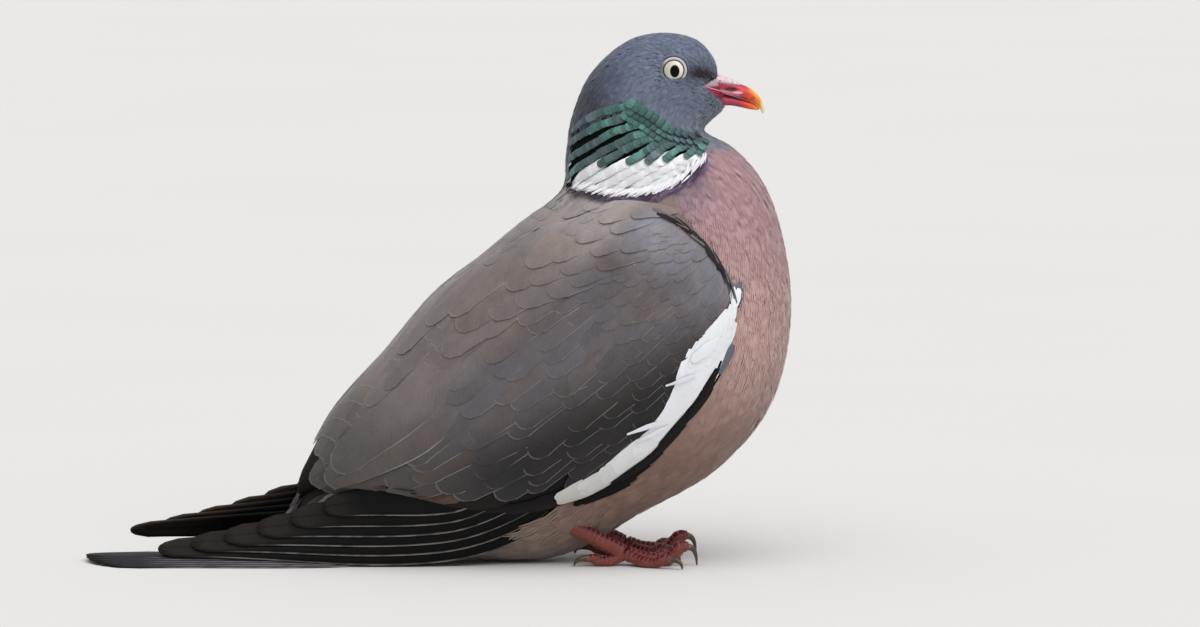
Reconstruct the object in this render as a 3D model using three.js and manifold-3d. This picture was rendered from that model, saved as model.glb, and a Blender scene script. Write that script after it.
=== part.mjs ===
/**
 * A common wood pigeon at rest, crouched over its feet with its tail laid on the floor: life size,
 * with every part of the body a closed solid of its own. Millimetres, +X towards the bill, +Y to the
 * bird's left, +Z up. The origin is at the middle of the bounding box's floor.
 */
import * as THREE from "three";
import { LoftGeometry } from "three/addons/geometries/LoftGeometry.js";
import { mergeVertices } from "three/addons/utils/BufferGeometryUtils.js";
import Module from "manifold-3d";

const wasm = await Module();
wasm.setup();

// ---------------------------------------------------------------- driving sizes

const GAP = 0.35; // clearance between neighbouring solids
// The left wing's tip lies over the right one's, so it is lifted and reaches further back.
const SIDES = {
  right: { sign: -1, tipLift: 0, tipReach: 0 },
  left: { sign: 1, tipLift: 5.5, tipReach: 11 },
};

/**
 * The feathered body without its wings, as flat slices from the face to the root of the tail. back
 * and belly are the slice's two ends in the middle plane, [x, z]; half is half its width; lean above
 * 0 makes it widest near the back, below 0 near the belly. wing gives the part of the way round,
 * from the back, that the folded wing covers.
 */
const SLICES = {
  face: { back: [39.6, 179.8], belly: [38.7, 167.2], half: 4.7, lean: 0 },
  lores: { back: [37.9, 185.8], belly: [37.3, 164.2], half: 8.2, lean: -0.1 },
  forehead: { back: [31.5, 193.2], belly: [35.8, 162.8], half: 11.6, lean: -0.1 },
  crown: { back: [19.3, 195.9], belly: [34.6, 161.6], half: 13.9, lean: -0.1 },
  hindcrown: { back: [5.9, 193.0], belly: [33.9, 160.4], half: 15.4, lean: -0.1 },
  nape: { back: [-8.1, 180.4], belly: [34.4, 159.2], half: 17.2, lean: -0.1 },
  upperNeck: { back: [-14.8, 164.4], belly: [37.4, 157.4], half: 19.4, lean: -0.08 },
  midNeck: { back: [-16.9, 150.7], belly: [44.8, 153.2], half: 22.6, lean: -0.06 },
  neckBase: { back: [-17.8, 139.3], belly: [55.6, 140.9], half: 28.5, lean: -0.02 },
  shoulder: { back: [-22.2, 133.9], belly: [63.3, 119.3], half: 36.0, lean: 0.04, wing: [0.14, 0.29] },
  breast: { back: [-32.6, 126.4], belly: [66.1, 90.0], half: 41.5, lean: 0.08, wing: [0.07, 0.345] },
  midBack: { back: [-48.4, 113.4], belly: [58.6, 58.0], half: 42.5, lean: 0.1, wing: [0.035, 0.352] },
  loin: { back: [-65.8, 98.2], belly: [39.2, 34.8], half: 39.5, lean: 0.1, wing: [0.015, 0.36] },
  rump: { back: [-83.4, 76.6], belly: [11.5, 18.6], half: 33.5, lean: 0.06, wing: [0.01, 0.366] },
  vent: { back: [-101.2, 56.2], belly: [-19.0, 2.4], half: 25.5, lean: 0, wing: [0.01, 0.3] },
  coverts: { back: [-112.5, 34.0], belly: [-56.0, 1.2], half: 18.5, lean: 0, wing: [0.01, 0.16] },
  tailRoot: { back: [-122.5, 15.5], belly: [-88.0, 3.2], half: 11.5, lean: 0, wing: [0.01, 0.06] },
  tailCoverts: { back: [-138.0, 6.6], belly: [-120.0, 4.6], half: 7.5, lean: 0 },
};
const NAMES = Object.keys(SLICES);
const LAST = NAMES.length - 1;
const HEAD_END = NAMES.indexOf("nape");
const NECK_END = NAMES.indexOf("neckBase");
const FINENESS = {
  head: { along: 12, around: 22 },
  neck: { along: 7, around: 22 },
  trunk: { along: 20, around: 24 },
};
const BELLY_CLEARANCE = 1.0; // the belly feathers just clear the floor
const FULLNESS = 0.9; // 1 makes the slices elliptical, less makes them squarer

// The folded wing's span in slices, the slices over which it opens and closes, and its thickness.
// Its inner face is sunk below the body's surface. A cutter that grows by a millimetre spreads by
// spread.turns of the way round and spread.slices along.
const WING = {
  from: 8.3,
  to: 15.45,
  opens: 1.1,
  closes: 1.3,
  edge: 1.4,
  middle: 6.6,
  sunk: 1.2,
  spread: { turns: 0.004, slices: 0.05 },
};

const EYE = { x: 22.7, z: 182.9, radius: 5.4, proud: 1.7 };

// The bill's outline in the middle plane, from its root to its hooked tip, with half its width.
const BILL = [
  { x: 40.1, culmen: 179.5, mouth: 173.3, under: 168.2, half: 4.6 },
  { x: 43.6, culmen: 178.9, mouth: 172.6, under: 167.9, half: 4.1 },
  { x: 47.2, culmen: 177.6, mouth: 171.8, under: 167.7, half: 3.7 },
  { x: 50.6, culmen: 175.6, mouth: 171.0, under: 167.6, half: 3.2 },
  { x: 53.4, culmen: 172.9, mouth: 169.8, under: 167.9, half: 2.5 },
  { x: 55.3, culmen: 170.0, mouth: 168.0, under: 167.8, half: 1.6 },
  { x: 56.3, culmen: 167.6, mouth: 166.0, under: 166.0, half: 0.7 },
];
const LOWER_BILL_ROWS = 5; // the lower half stops short of the hooked tip
const CERE = { x: 43.7, z: 177.9, length: 5.5, height: 2.7, half: 3.9, slope: -0.4 };

const FOOT = { x: 5, y: 17, z: 4.6 };
const TARSUS = { to: [-17, 16, 15.5], radius: 2.9 };
// turn is the toe's heading away from the bill and outwards, in degrees; rise lifts its last joint.
const TOES = {
  hind: { turn: 172, length: 14, rise: 1.2, radius: 2.0 },
  inner: { turn: -28, length: 18, rise: 1.6, radius: 2.1 },
  middle: { turn: 2, length: 23.5, rise: 5.0, radius: 2.5 },
  outer: { turn: 33, length: 20, rise: 1.8, radius: 2.1 },
};
const CLAW = { length: 8.6, reach: 0.72, radius: 1.5, tip: 0.3 };

const TAIL = { pairs: 6, root: -80, length: 115, rootHalf: 9, width: 27, fan: 1.15, step: 0.5, top: 3.8 };
// The primaries lie in a fan like a roof's side. roots and tips hold the x of the first, shortest
// feather's end and of the last, longest one's; each other pair runs from the fan's root to its tip.
const PRIMARIES = {
  count: 6,
  width: 17.5,
  thickness: 1.8,
  layer: 1.1,
  roots: [-42, -20],
  tips: [-106.7, -168],
  height: [36, 7.4],
  beside: [29, 4],
  spacing: [2.4, 0.7],
  bow: 1.8,
  lean: [-0.4, 0.9],
};

const COLOURS = {
  headBlue: { color: 0x6f7484, roughness: 0.85 },
  neckGreen: { color: 0x3f7a6c, roughness: 0.6 },
  breastPink: { color: 0x9a7672, roughness: 0.9 },
  wingGrey: { color: 0x6b6360, roughness: 0.85 },
  quillBlack: { color: 0x2b2523, roughness: 0.7 },
  tailGrey: { color: 0x4a4645, roughness: 0.8 },
  billOrange: { color: 0xd9622b, roughness: 0.35 },
  billRed: { color: 0xb8334a, roughness: 0.4 },
  cereWhite: { color: 0xd8b8b8, roughness: 0.7 },
  irisYellow: { color: 0xe4e2c0, roughness: 0.1 },
  legRed: { color: 0x9c3a3c, roughness: 0.55 },
  clawHorn: { color: 0x6f5a50, roughness: 0.45 },
};

// ---------------------------------------------------------------- solids

/** A manifold solid from a closed geometry. */
function solid(geometry) {
  const bare = new THREE.BufferGeometry().setIndex(geometry.index);
  bare.setAttribute("position", geometry.getAttribute("position"));
  const merged = mergeVertices(bare, 1e-4);
  const corners = merged.index.array;
  const triVerts = [];
  for (let i = 0; i < corners.length; i += 3) {
    const face = [corners[i], corners[i + 1], corners[i + 2]];
    if (new Set(face).size === 3) triVerts.push(...face);
  }
  const vertProperties = merged.attributes.position.array;
  const mesh = new wasm.Mesh({ numProp: 3, vertProperties, triVerts: new Uint32Array(triVerts) });
  return new wasm.Manifold(mesh);
}

/** The middle of a ring of points. */
function centroid(points) {
  return points.reduce((sum, point) => sum.add(point), new THREE.Vector3()).divideScalar(points.length);
}

/** A closed solid skinned over rings of points, flat at both ends, whichever way the rings wind. */
function loft(rings) {
  const middle = Math.floor(rings.length / 2);
  const points = rings[middle];
  const centre = centroid(points);
  const heading = centroid(rings[middle]).sub(centroid(rings[middle - 1]));
  const turning = new THREE.Vector3();
  points.forEach((point, i) => {
    const next = points[(i + 1) % points.length];
    turning.add(point.clone().sub(centre).cross(next.clone().sub(centre)));
  });
  const wound = turning.dot(heading) > 0 ? rings : rings.map((each) => [...each].reverse());
  return solid(new LoftGeometry(wound, { capStart: true, capEnd: true }));
}

/** The largest single body of a solid, without the crumbs that a cut can leave. */
function largest(cut) {
  return cut.decompose().reduce((a, b) => (a.volume() > b.volume() ? a : b));
}

/** A solid with what would hang below a level pressed flat at it. */
function pressedFlat(made, level) {
  return made.warp((vertex) => {
    vertex[2] = Math.max(vertex[2], level);
  });
}

/** A named mesh of a solid. */
function part(name, made, colour) {
  const { numProp, vertProperties, triVerts } = made.getMesh();
  const places = [];
  for (let i = 0; i < vertProperties.length; i += numProp) {
    places.push(...vertProperties.subarray(i, i + 3));
  }
  const geometry = new THREE.BufferGeometry();
  geometry.setAttribute("position", new THREE.Float32BufferAttribute(places, 3));
  geometry.setIndex([...triVerts]);
  geometry.computeVertexNormals();
  const mesh = new THREE.Mesh(geometry, new THREE.MeshStandardMaterial({ metalness: 0, ...COLOURS[colour] }));
  mesh.name = name;
  return mesh;
}

/** Evenly spaced numbers from a to b, both ends included. */
function steps(a, b, count) {
  return Array.from({ length: count + 1 }, (_, i) => a + ((b - a) * i) / count);
}

/** A ring of points from a function of the way round, 0 to 1. */
function ring(count, point) {
  return Array.from({ length: count }, (_, i) => point(i / count));
}

/** An ellipsoid, leaning forwards and upwards by slope radians. */
function ellipsoid({ x, y = 0, z, length, height, half, slope = 0 }) {
  const geometry = new THREE.SphereGeometry(1, 12, 8);
  geometry.scale(length, half, height).rotateY(-slope).translate(x, y, z);
  return solid(geometry);
}

/** A round limb along a curve. radius gives its thickness at each part of the way. */
function limb(curve, radius, along, around = 10) {
  const frames = curve.computeFrenetFrames(along, false);
  return loft(
    steps(0, 1, along).map((v, i) => {
      const centre = curve.getPoint(v);
      return ring(around, (u) => {
        const angle = u * 2 * Math.PI;
        return centre
          .clone()
          .addScaledVector(frames.normals[i], radius(v) * Math.cos(angle))
          .addScaledVector(frames.binormals[i], radius(v) * Math.sin(angle));
      });
    }),
  );
}

// ---------------------------------------------------------------- the body's surface

const ends = (key) => NAMES.map((name) => SLICES[name][key]);
const inPlane = (key) => ends(key).map(([x, z]) => new THREE.Vector3(x, 0, z));
const backLine = new THREE.CatmullRomCurve3(inPlane("back"), false, "centripetal");
const bellyLine = new THREE.CatmullRomCurve3(inPlane("belly"), false, "centripetal");
const girth = new THREE.CatmullRomCurve3(
  NAMES.map((name) => new THREE.Vector3(SLICES[name].half, SLICES[name].lean, 0)),
);
const wingSlices = NAMES.filter((name) => SLICES[name].wing);
const wingBand = new THREE.CatmullRomCurve3(
  wingSlices.map((name) => new THREE.Vector3(SLICES[name].wing[0], SLICES[name].wing[1], 0)),
);

/** A sine or cosine, squared off by the body's fullness. */
function fuller(wave) {
  return Math.sign(wave) * Math.abs(wave) ** FULLNESS;
}

/** A point of the body. at is the slice's number from the face; turn goes from the back by the right side. */
function bodyPoint(at, turn) {
  const v = THREE.MathUtils.clamp(at / LAST, 0, 1);
  const back = backLine.getPoint(v);
  const belly = bellyLine.getPoint(v);
  const { x: half, y: lean } = girth.getPoint(v);
  const angle = turn * 2 * Math.PI;
  const upwards = fuller(Math.cos(angle));
  const point = back.clone().add(belly).multiplyScalar(0.5);
  point.addScaledVector(back.clone().sub(belly), upwards / 2);
  point.y = -half * fuller(Math.sin(angle)) * (1 + lean * upwards);
  point.z = Math.max(point.z, BELLY_CLEARANCE);
  return point;
}

/** The same point, moved out from the body by lift. */
function liftedPoint(at, turn, lift) {
  const reach = 0.02;
  const [before, after] = [Math.max(at - reach, 0), Math.min(at + reach, LAST)];
  const along = bodyPoint(after, turn).sub(bodyPoint(before, turn));
  const round = bodyPoint(at, turn + reach).sub(bodyPoint(at, turn - reach));
  const outwards = along.cross(round).normalize();
  const point = bodyPoint(at, turn);
  if (outwards.dot(point.clone().sub(bodyCentre(at))) < 0) outwards.negate();
  return point.addScaledVector(outwards, lift);
}

/** The middle of a slice. */
function bodyCentre(at) {
  return bodyPoint(at, 0).add(bodyPoint(at, 0.5)).multiplyScalar(0.5);
}

/** How far the body's surface stands from the middle plane beside a point, between two slices. */
function halfWidthAt(x, z, from, to) {
  let best = { away: Infinity, half: 0 };
  for (const at of steps(from, to, 70)) {
    for (const turn of steps(0.02, 0.48, 60)) {
      const point = bodyPoint(at, turn);
      const away = Math.hypot(point.x - x, point.z - z);
      if (away < best.away) best = { away, half: Math.abs(point.y) };
    }
  }
  return best.half;
}

/** A length of the body between two slices, its front face set back by a gap from the length before. */
function bodyLength(from, to, { lift = 0, gap = 0, around, along }) {
  const rings = steps(from, to, along).map((at) => ring(around, (turn) => liftedPoint(at, turn, lift)));
  const across = bodyPoint(from, 0).sub(bodyPoint(from, 0.5)).normalize();
  const backwards = new THREE.Vector3(0, 1, 0).cross(across);
  if (backwards.dot(bodyCentre(to).sub(bodyCentre(from))) < 0) backwards.negate();
  rings[0].forEach((point) => point.addScaledVector(backwards, gap));
  return loft(rings);
}

// ---------------------------------------------------------------- wings and tail

/** The folded wing's shell: lesser, middle and greater coverts, scapulars and inner quills. */
function wingArm(sign, grow = 0) {
  const { from, to, opens, closes, edge, middle, sunk, spread } = WING;
  const [along, across] = [16, 9];
  const [first, last] = [wingSlices[0], wingSlices.at(-1)].map((name) => NAMES.indexOf(name));
  const widen = grow * spread.turns;
  const lengthen = grow * spread.slices;
  const rings = steps(from - lengthen, to + lengthen, along).map((at) => {
    const band = wingBand.getPoint(THREE.MathUtils.clamp((at - first) / (last - first), 0, 1));
    const opened = THREE.MathUtils.clamp(Math.min((at - from) / opens, (to - at) / closes), 0, 1);
    const round = Math.sqrt(Math.max(1 - (1 - opened) ** 2, 0.006));
    const centre = at < first + opens ? (band.x + band.y) / 2 : band.x + 0.02;
    const [top, low] = [band.x, band.y].map((turn) => centre + (turn - centre) * round);
    const turnAt = (w) => top + (low - top) * w + widen * (2 * w - 1);
    const outer = steps(0, 1, across).map((w) => {
      const swell = Math.sin(Math.PI * w) ** 0.7;
      const rim = edge * THREE.MathUtils.clamp(round * 1.5, 0.5, 1);
      const lift = GAP + rim + (middle - edge) * swell * round + grow;
      return liftedPoint(at, turnAt(w), lift);
    });
    const inner = steps(1, 0, Math.floor(across / 2)).map((w) => liftedPoint(at, turnAt(w), -sunk));
    return [...outer, ...inner].map((point) => point.setY(point.y * -sign));
  });
  return loft(rings);
}

/** One long flight feather as a flat blade with a rounded tip. */
function blade({ curve, width, thickness, tilt, along = 6, around = 6 }) {
  return loft(
    steps(0, 1, along).map((v) => {
      const centre = curve.getPoint(v);
      const heading = curve.getTangent(v);
      const up = new THREE.Vector3(0, Math.sin(tilt(v)), Math.cos(tilt(v)));
      const across = up.addScaledVector(heading, -up.dot(heading)).normalize();
      const outwards = across.clone().cross(heading);
      const tip = Math.sqrt(Math.max(1 - Math.max((v - 0.72) / 0.29, 0) ** 2, 0.01));
      const half = (width / 2) * tip * (0.25 + 0.75 * Math.min(v / 0.35, 1));
      return ring(around, (u) => {
        const angle = u * 2 * Math.PI;
        return centre
          .clone()
          .addScaledVector(across, half * Math.cos(angle))
          .addScaledVector(outwards, (thickness / 2) * Math.sin(angle));
      });
    }),
  );
}

/** The primaries that show below and behind the folded wing, each lying over the next longer one. */
function primaries({ sign, tipLift, tipReach }) {
  const { count, width, thickness, layer, roots, tips, height, beside, spacing, bow, lean } = PRIMARIES;
  const mix = THREE.MathUtils.lerp;
  const blades = steps(0, count - 1, count - 1).map((k) => {
    const rank = k / (count - 1);
    const [from, to] = [mix(...roots, rank), mix(...tips, rank)];
    const reachAt = (v) => (roots[1] - mix(from, to, v)) / (roots[1] - tips[1]);
    const leanAt = (v) => mix(...lean, reachAt(v));
    const centre = (v) => {
      const reach = reachAt(v);
      const apart = mix(...spacing, reach) + bow * Math.sin(Math.PI * Math.sqrt(reach));
      const [down, out] = [k * apart, (count - 1 - k) * layer];
      const [sine, cosine] = [Math.sin(leanAt(v)), Math.cos(leanAt(v))];
      const y = mix(...beside, reach ** 0.9) + down * sine + out * cosine;
      const z = mix(...height, reach ** 1.1) + tipLift * reach - down * cosine + out * sine;
      return new THREE.Vector3(mix(from, to - tipReach, v), sign * y, z);
    };
    const curve = new THREE.CatmullRomCurve3(steps(0, 1, 5).map(centre));
    return pressedFlat(blade({ curve, width, thickness, tilt: (v) => -sign * leanAt(v) }), BELLY_CLEARANCE);
  });
  return wasm.Manifold.union(blades);
}

/** The tail: twelve feathers fused in a low stack, the middle pair on top, flat underneath. */
function tail(grow = 0) {
  const { pairs, root, length, rootHalf, width, fan, step, top } = TAIL;
  const feathers = [];
  for (let k = 0; k < pairs; k += 1) {
    for (const { sign } of Object.values(SIDES)) {
      const angle = sign * THREE.MathUtils.degToRad(fan * (k + 0.5));
      const height = top - step * (k + (sign + 1) / 4) + grow;
      const reach = length - 0.35 * k * k;
      const start = new THREE.Vector2(root, (sign * rootHalf * k) / pairs);
      const rings = [0, 0.5, 0.86, 0.95, 1].map((v) => {
        const tip = Math.sqrt(Math.max(1 - Math.max((v - 0.86) / 0.143, 0) ** 2, 0.02));
        const half = (width / 2) * tip * (0.7 + 0.3 * v) + grow;
        const x = start.x - reach * v * Math.cos(angle);
        const y = start.y + reach * v * Math.sin(angle);
        const crown = height * (1 - 0.35 * v);
        return [
          new THREE.Vector3(x, y - half, 0),
          new THREE.Vector3(x, y - half, crown * 0.7),
          new THREE.Vector3(x, y, crown),
          new THREE.Vector3(x, y + half, crown * 0.7),
          new THREE.Vector3(x, y + half, 0),
        ];
      });
      feathers.push(loft(rings));
    }
  }
  return wasm.Manifold.union(feathers);
}

// ---------------------------------------------------------------- head furniture

/** One half of the bill, between two lines of its outline, dropped from the upper one or grown. */
function billHalf(rows, upper, lower, { drop = 0, grow = 0 } = {}) {
  return loft(
    rows.map((row) => {
      const [high, low] = [row[upper] - drop + grow, row[lower] - grow];
      const [middle, height] = [(high + low) / 2, Math.max((high - low) / 2, 0.3)];
      return ring(12, (u) => {
        const angle = u * 2 * Math.PI;
        const y = (row.half + grow) * Math.cos(angle);
        return new THREE.Vector3(row.x, y, middle + height * Math.sin(angle));
      });
    }),
  );
}

/** An eyeball, or its socket's cutter when it grows by the gap. */
function eyeball(sign, grow = 0) {
  const radius = EYE.radius + grow;
  const y = sign * (halfWidthAt(EYE.x, EYE.z, 0, HEAD_END) + EYE.proud - EYE.radius);
  return ellipsoid({ x: EYE.x, y, z: EYE.z, length: radius, height: radius, half: radius });
}

// ---------------------------------------------------------------- legs and feet

/** The shank, from the foot's joint up into the belly, or its socket's cutter when it grows. */
function tarsus(sign, grow = 0) {
  const [x, y, z] = TARSUS.to;
  const lower = new THREE.Vector3(FOOT.x, sign * FOOT.y, FOOT.z);
  const upper = new THREE.Vector3(x, sign * y, z);
  upper.addScaledVector(upper.clone().sub(lower).normalize(), grow);
  return limb(new THREE.LineCurve3(lower, upper), () => TARSUS.radius + grow, 2, 10);
}

/** A toe's middle line: down from the foot's joint, along the floor, and over its last joint. */
function toeCurve(sign, { turn, length, rise, radius }) {
  const heading = THREE.MathUtils.degToRad(turn);
  const at = (reach, z) =>
    new THREE.Vector3(FOOT.x + reach * Math.cos(heading), sign * (FOOT.y + reach * Math.sin(heading)), z);
  const sole = radius * 0.9;
  return new THREE.CatmullRomCurve3([
    at(0, FOOT.z),
    at(length * 0.35, sole + 0.4),
    at(length * 0.65, sole),
    at(length * 0.88, sole + rise),
    at(length, sole + rise * 0.95),
  ]);
}

/** A toe with its joints swollen and its sole pressed flat on the floor. */
function toe(sign, toeSize) {
  const pads = 3;
  const thickness = (v) => toeSize.radius * (1.12 - 0.3 * v + 0.08 * Math.cos(v * pads * 2 * Math.PI));
  return pressedFlat(limb(toeCurve(sign, toeSize), thickness, 8, 8), 0);
}

/** A leg: the shank with its four toes. */
function leg(sign) {
  const toes = Object.values(TOES).map((toeSize) => toe(sign, toeSize));
  return wasm.Manifold.union([tarsus(sign), ...toes]);
}

/** A claw: a curved cone from the toe's last joint down to the floor. */
function claw(sign, toeSize) {
  const curve = toeCurve(sign, toeSize);
  const root = curve.getPoint(1).addScaledVector(curve.getTangent(1), GAP);
  const heading = curve.getTangent(1).setZ(0).normalize();
  const reach = Math.sqrt(CLAW.length ** 2 - root.z ** 2) * CLAW.reach;
  const knee = root.clone().addScaledVector(heading, reach);
  const curl = new THREE.QuadraticBezierCurve3(root, knee, knee.clone().setZ(CLAW.tip));
  const taper = (v) => CLAW.radius + (CLAW.tip - CLAW.radius) * v;
  return pressedFlat(limb(curl, taper, 4, 6), 0);
}

// ---------------------------------------------------------------- the bird

/** The head with its eye sockets, the neck, and the trunk with the leg sockets. */
function buildBody() {
  let head = bodyLength(0, HEAD_END, FINENESS.head);
  let trunk = bodyLength(NECK_END, LAST, { gap: GAP, ...FINENESS.trunk });
  for (const { sign } of Object.values(SIDES)) {
    head = head.subtract(eyeball(sign, GAP));
    trunk = trunk.subtract(tarsus(sign, GAP));
  }
  const neck = bodyLength(HEAD_END, NECK_END, { gap: GAP, ...FINENESS.neck });
  return { head: largest(head), neck, trunk: largest(trunk) };
}

/** The two halves of the bill, and the swollen cere that straddles the upper one's root. */
function buildBill() {
  const upper = billHalf(BILL, "culmen", "mouth");
  const lower = billHalf(BILL.slice(0, LOWER_BILL_ROWS), "mouth", "under", { drop: GAP }).subtract(upper);
  const upperCut = billHalf(BILL, "culmen", "mouth", { grow: GAP });
  const headCut = bodyLength(0, HEAD_END, { lift: GAP, ...FINENESS.head });
  return { upper, lower, cere: largest(ellipsoid(CERE).subtract(upperCut).subtract(headCut)) };
}

/** The whole bird, on the floor at z = 0. */
function buildBird() {
  const bird = new THREE.Group();
  const add = (name, made, colour) => bird.add(part(name, made, colour));
  const { head, neck, trunk } = buildBody();
  const { upper, lower, cere } = buildBill();
  const bodyCut = bodyLength(NECK_END, LAST, { lift: GAP, ...FINENESS.trunk });
  const neckCut = bodyLength(HEAD_END, NECK_END, { lift: GAP, ...FINENESS.neck });
  const tailSolid = largest(tail().subtract(bodyCut));
  add("head", head, "headBlue");
  add("neck", neck, "neckGreen");
  add("trunk", trunk, "breastPink");
  add("bill_upper", upper, "billOrange");
  add("bill_lower", lower, "billRed");
  add("cere", cere, "cereWhite");
  add("tail", tailSolid, "tailGrey");
  for (const [word, side] of Object.entries(SIDES)) {
    const { sign } = side;
    const arm = largest(wingArm(sign).subtract(bodyCut).subtract(neckCut));
    const quills = primaries(side).subtract(bodyCut).subtract(wingArm(sign, GAP)).subtract(tail(2 * GAP));
    add(`eye_${word}`, eyeball(sign), "irisYellow");
    add(`wing_${word}`, arm, "wingGrey");
    add(`primaries_${word}`, largest(quills), "quillBlack");
    add(`leg_${word}`, leg(sign), "legRed");
    for (const [toeName, toeSize] of Object.entries(TOES)) {
      add(`claw_${toeName}_${word}`, claw(sign, toeSize), "clawHorn");
    }
  }
  return bird;
}

const bird = buildBird();
const box = new THREE.Box3().setFromObject(bird);
const middle = box.getCenter(new THREE.Vector3());
bird.position.set(-middle.x, -middle.y, -box.min.z);

export default bird;
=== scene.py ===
"""The looks of a common wood pigeon at rest, life size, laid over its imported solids.

The bird is measured in its own millimetres: +X towards the bill, +Y to its left, +Z up, from the
floor between its feet. Stance turns those into the frame's metres. The body is one smooth surface,
read by two numbers: at, the slice counted from the face to the tail, and turn, the part of the way
round from the back by the right side. The skin, the plumage's markings and the lie of the small
feathers are all read off that surface. The wings and the tail carry their large feathers one by one.
"""

import logging
import math
from collections.abc import Callable, Iterable, Sequence
from dataclasses import dataclass, replace
from enum import Enum

import bmesh
import bpy
import numpy as np
from mathutils import Matrix, Vector
from mathutils.bvhtree import BVHTree
from mathutils.kdtree import KDTree


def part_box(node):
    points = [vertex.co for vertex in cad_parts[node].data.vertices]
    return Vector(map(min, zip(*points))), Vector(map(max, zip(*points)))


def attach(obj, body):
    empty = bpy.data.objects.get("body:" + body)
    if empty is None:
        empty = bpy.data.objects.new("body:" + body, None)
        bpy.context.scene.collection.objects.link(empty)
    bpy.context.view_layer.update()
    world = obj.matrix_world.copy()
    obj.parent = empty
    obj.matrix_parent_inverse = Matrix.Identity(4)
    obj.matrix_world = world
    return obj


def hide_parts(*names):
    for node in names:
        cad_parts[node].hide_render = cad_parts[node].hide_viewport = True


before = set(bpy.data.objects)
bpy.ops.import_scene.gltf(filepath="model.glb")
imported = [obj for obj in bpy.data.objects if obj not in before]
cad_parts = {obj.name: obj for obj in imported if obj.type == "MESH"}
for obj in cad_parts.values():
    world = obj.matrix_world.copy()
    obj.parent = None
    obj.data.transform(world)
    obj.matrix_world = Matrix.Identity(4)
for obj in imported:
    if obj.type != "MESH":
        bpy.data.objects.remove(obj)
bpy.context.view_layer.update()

Points = np.ndarray
Sizes = tuple[float, ...]
Pair = tuple[float, float]
Shape = bmesh.types.BMesh
Piece = bpy.types.Object
Material = bpy.types.Material
MM = 0.001
BODY = "root"
LOG = logging.getLogger("wood_pigeon")


# ---------------------------------------------------------------- sizes shared by the pieces


class Side(Enum):
    """The bird's two sides, with the sign that its +Y axis gives them."""

    RIGHT = -1
    LEFT = 1

    @property
    def word(self) -> str:
        """The side's name as the frame's nodes spell it."""
        return self.name.lower()


@dataclass(frozen=True)
class Slice:
    """One cross slice of the feathered body, in millimetres.

    back and belly are its two ends in the middle plane, half is half its width, and lean above 0
    makes it widest near the back. wing is the part of the way round that the folded wing covers.
    """

    name: str
    back: Pair
    belly: Pair
    half: float
    lean: float
    wing: Pair | None = None


SLICES = (
    Slice("face", (39.0, 180.0), (42.0, 168.2), 4.7, 0),
    Slice("lores", (37.9, 185.8), (37.3, 164.2), 8.2, -0.1),
    Slice("forehead", (31.5, 193.2), (35.8, 162.8), 11.6, -0.1),
    Slice("crown", (19.3, 195.9), (34.6, 161.6), 13.9, -0.1),
    Slice("hindcrown", (5.9, 193.0), (33.9, 160.4), 15.4, -0.1),
    Slice("nape", (-8.1, 180.4), (34.4, 159.2), 17.2, -0.1),
    Slice("upper_neck", (-14.8, 164.4), (37.4, 157.4), 19.4, -0.08),
    Slice("mid_neck", (-16.9, 150.7), (44.8, 153.2), 22.6, -0.06),
    Slice("neck_base", (-17.8, 139.3), (55.6, 140.9), 28.5, -0.02),
    Slice("shoulder", (-22.2, 133.9), (63.3, 119.3), 36.0, 0.04, (0.14, 0.29)),
    Slice("breast", (-32.6, 126.4), (66.1, 90.0), 41.5, 0.08, (0.07, 0.345)),
    Slice("mid_back", (-48.4, 113.4), (58.6, 58.0), 42.5, 0.1, (0.035, 0.352)),
    Slice("loin", (-65.8, 98.2), (39.2, 34.8), 39.5, 0.1, (0.015, 0.36)),
    Slice("rump", (-83.4, 76.6), (11.5, 18.6), 33.5, 0.06, (0.01, 0.366)),
    Slice("vent", (-101.2, 56.2), (-19.0, 2.4), 25.5, 0, (0.01, 0.3)),
    Slice("coverts", (-112.5, 34.0), (-56.0, 1.2), 18.5, 0, (0.01, 0.16)),
    Slice("tail_root", (-122.5, 15.5), (-88.0, 3.2), 11.5, 0, (0.01, 0.06)),
    Slice("tail_coverts", (-138.0, 6.6), (-120.0, 4.6), 7.5, 0),
)
LAST_SLICE = len(SLICES) - 1
BELLY_CLEARANCE = 1.0
FULLNESS = 0.9


def linear(code: str) -> tuple[float, float, float, float]:
    """Turns an sRGB hex colour to linear light.

    Args:
        code: six hex digits.

    Returns:
        Red, green, blue and an alpha of 1.
    """
    parts = [int(code[i : i + 2], 16) / 255 for i in (0, 2, 4)]
    red, green, blue = (c / 12.92 if c <= 0.04045 else ((c + 0.055) / 1.055) ** 2.4 for c in parts)
    return (red, green, blue, 1.0)


def ease(value: Points, low: float, high: float) -> Points:
    """A smooth step from 0 at low to 1 at high."""
    share = np.clip((np.asarray(value, float) - low) / (high - low), 0, 1)
    return share * share * (3 - 2 * share)


def unit(vectors: Points) -> Points:
    """Vectors of length 1 along the last axis."""
    return vectors / np.maximum(np.linalg.norm(vectors, axis=-1, keepdims=True), 1e-9)


def from_back(turn: Points) -> Points:
    """How far some places are from the back, as a part of a turn, on either side."""
    return np.minimum(np.mod(turn, 1), 1 - np.mod(turn, 1))


def gone(path: Points) -> Points:
    """The way gone at each point of a path, from 0 at the first."""
    return np.concatenate([[0], np.cumsum(np.linalg.norm(np.diff(path, axis=0), axis=-1))])


def read_rows(where: Points, stops: Points, rows: Points) -> Points:
    """A table read between its stops, column by column."""
    return np.stack([np.interp(where, stops, rows[:, k]) for k in range(rows.shape[1])], -1)


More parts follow.
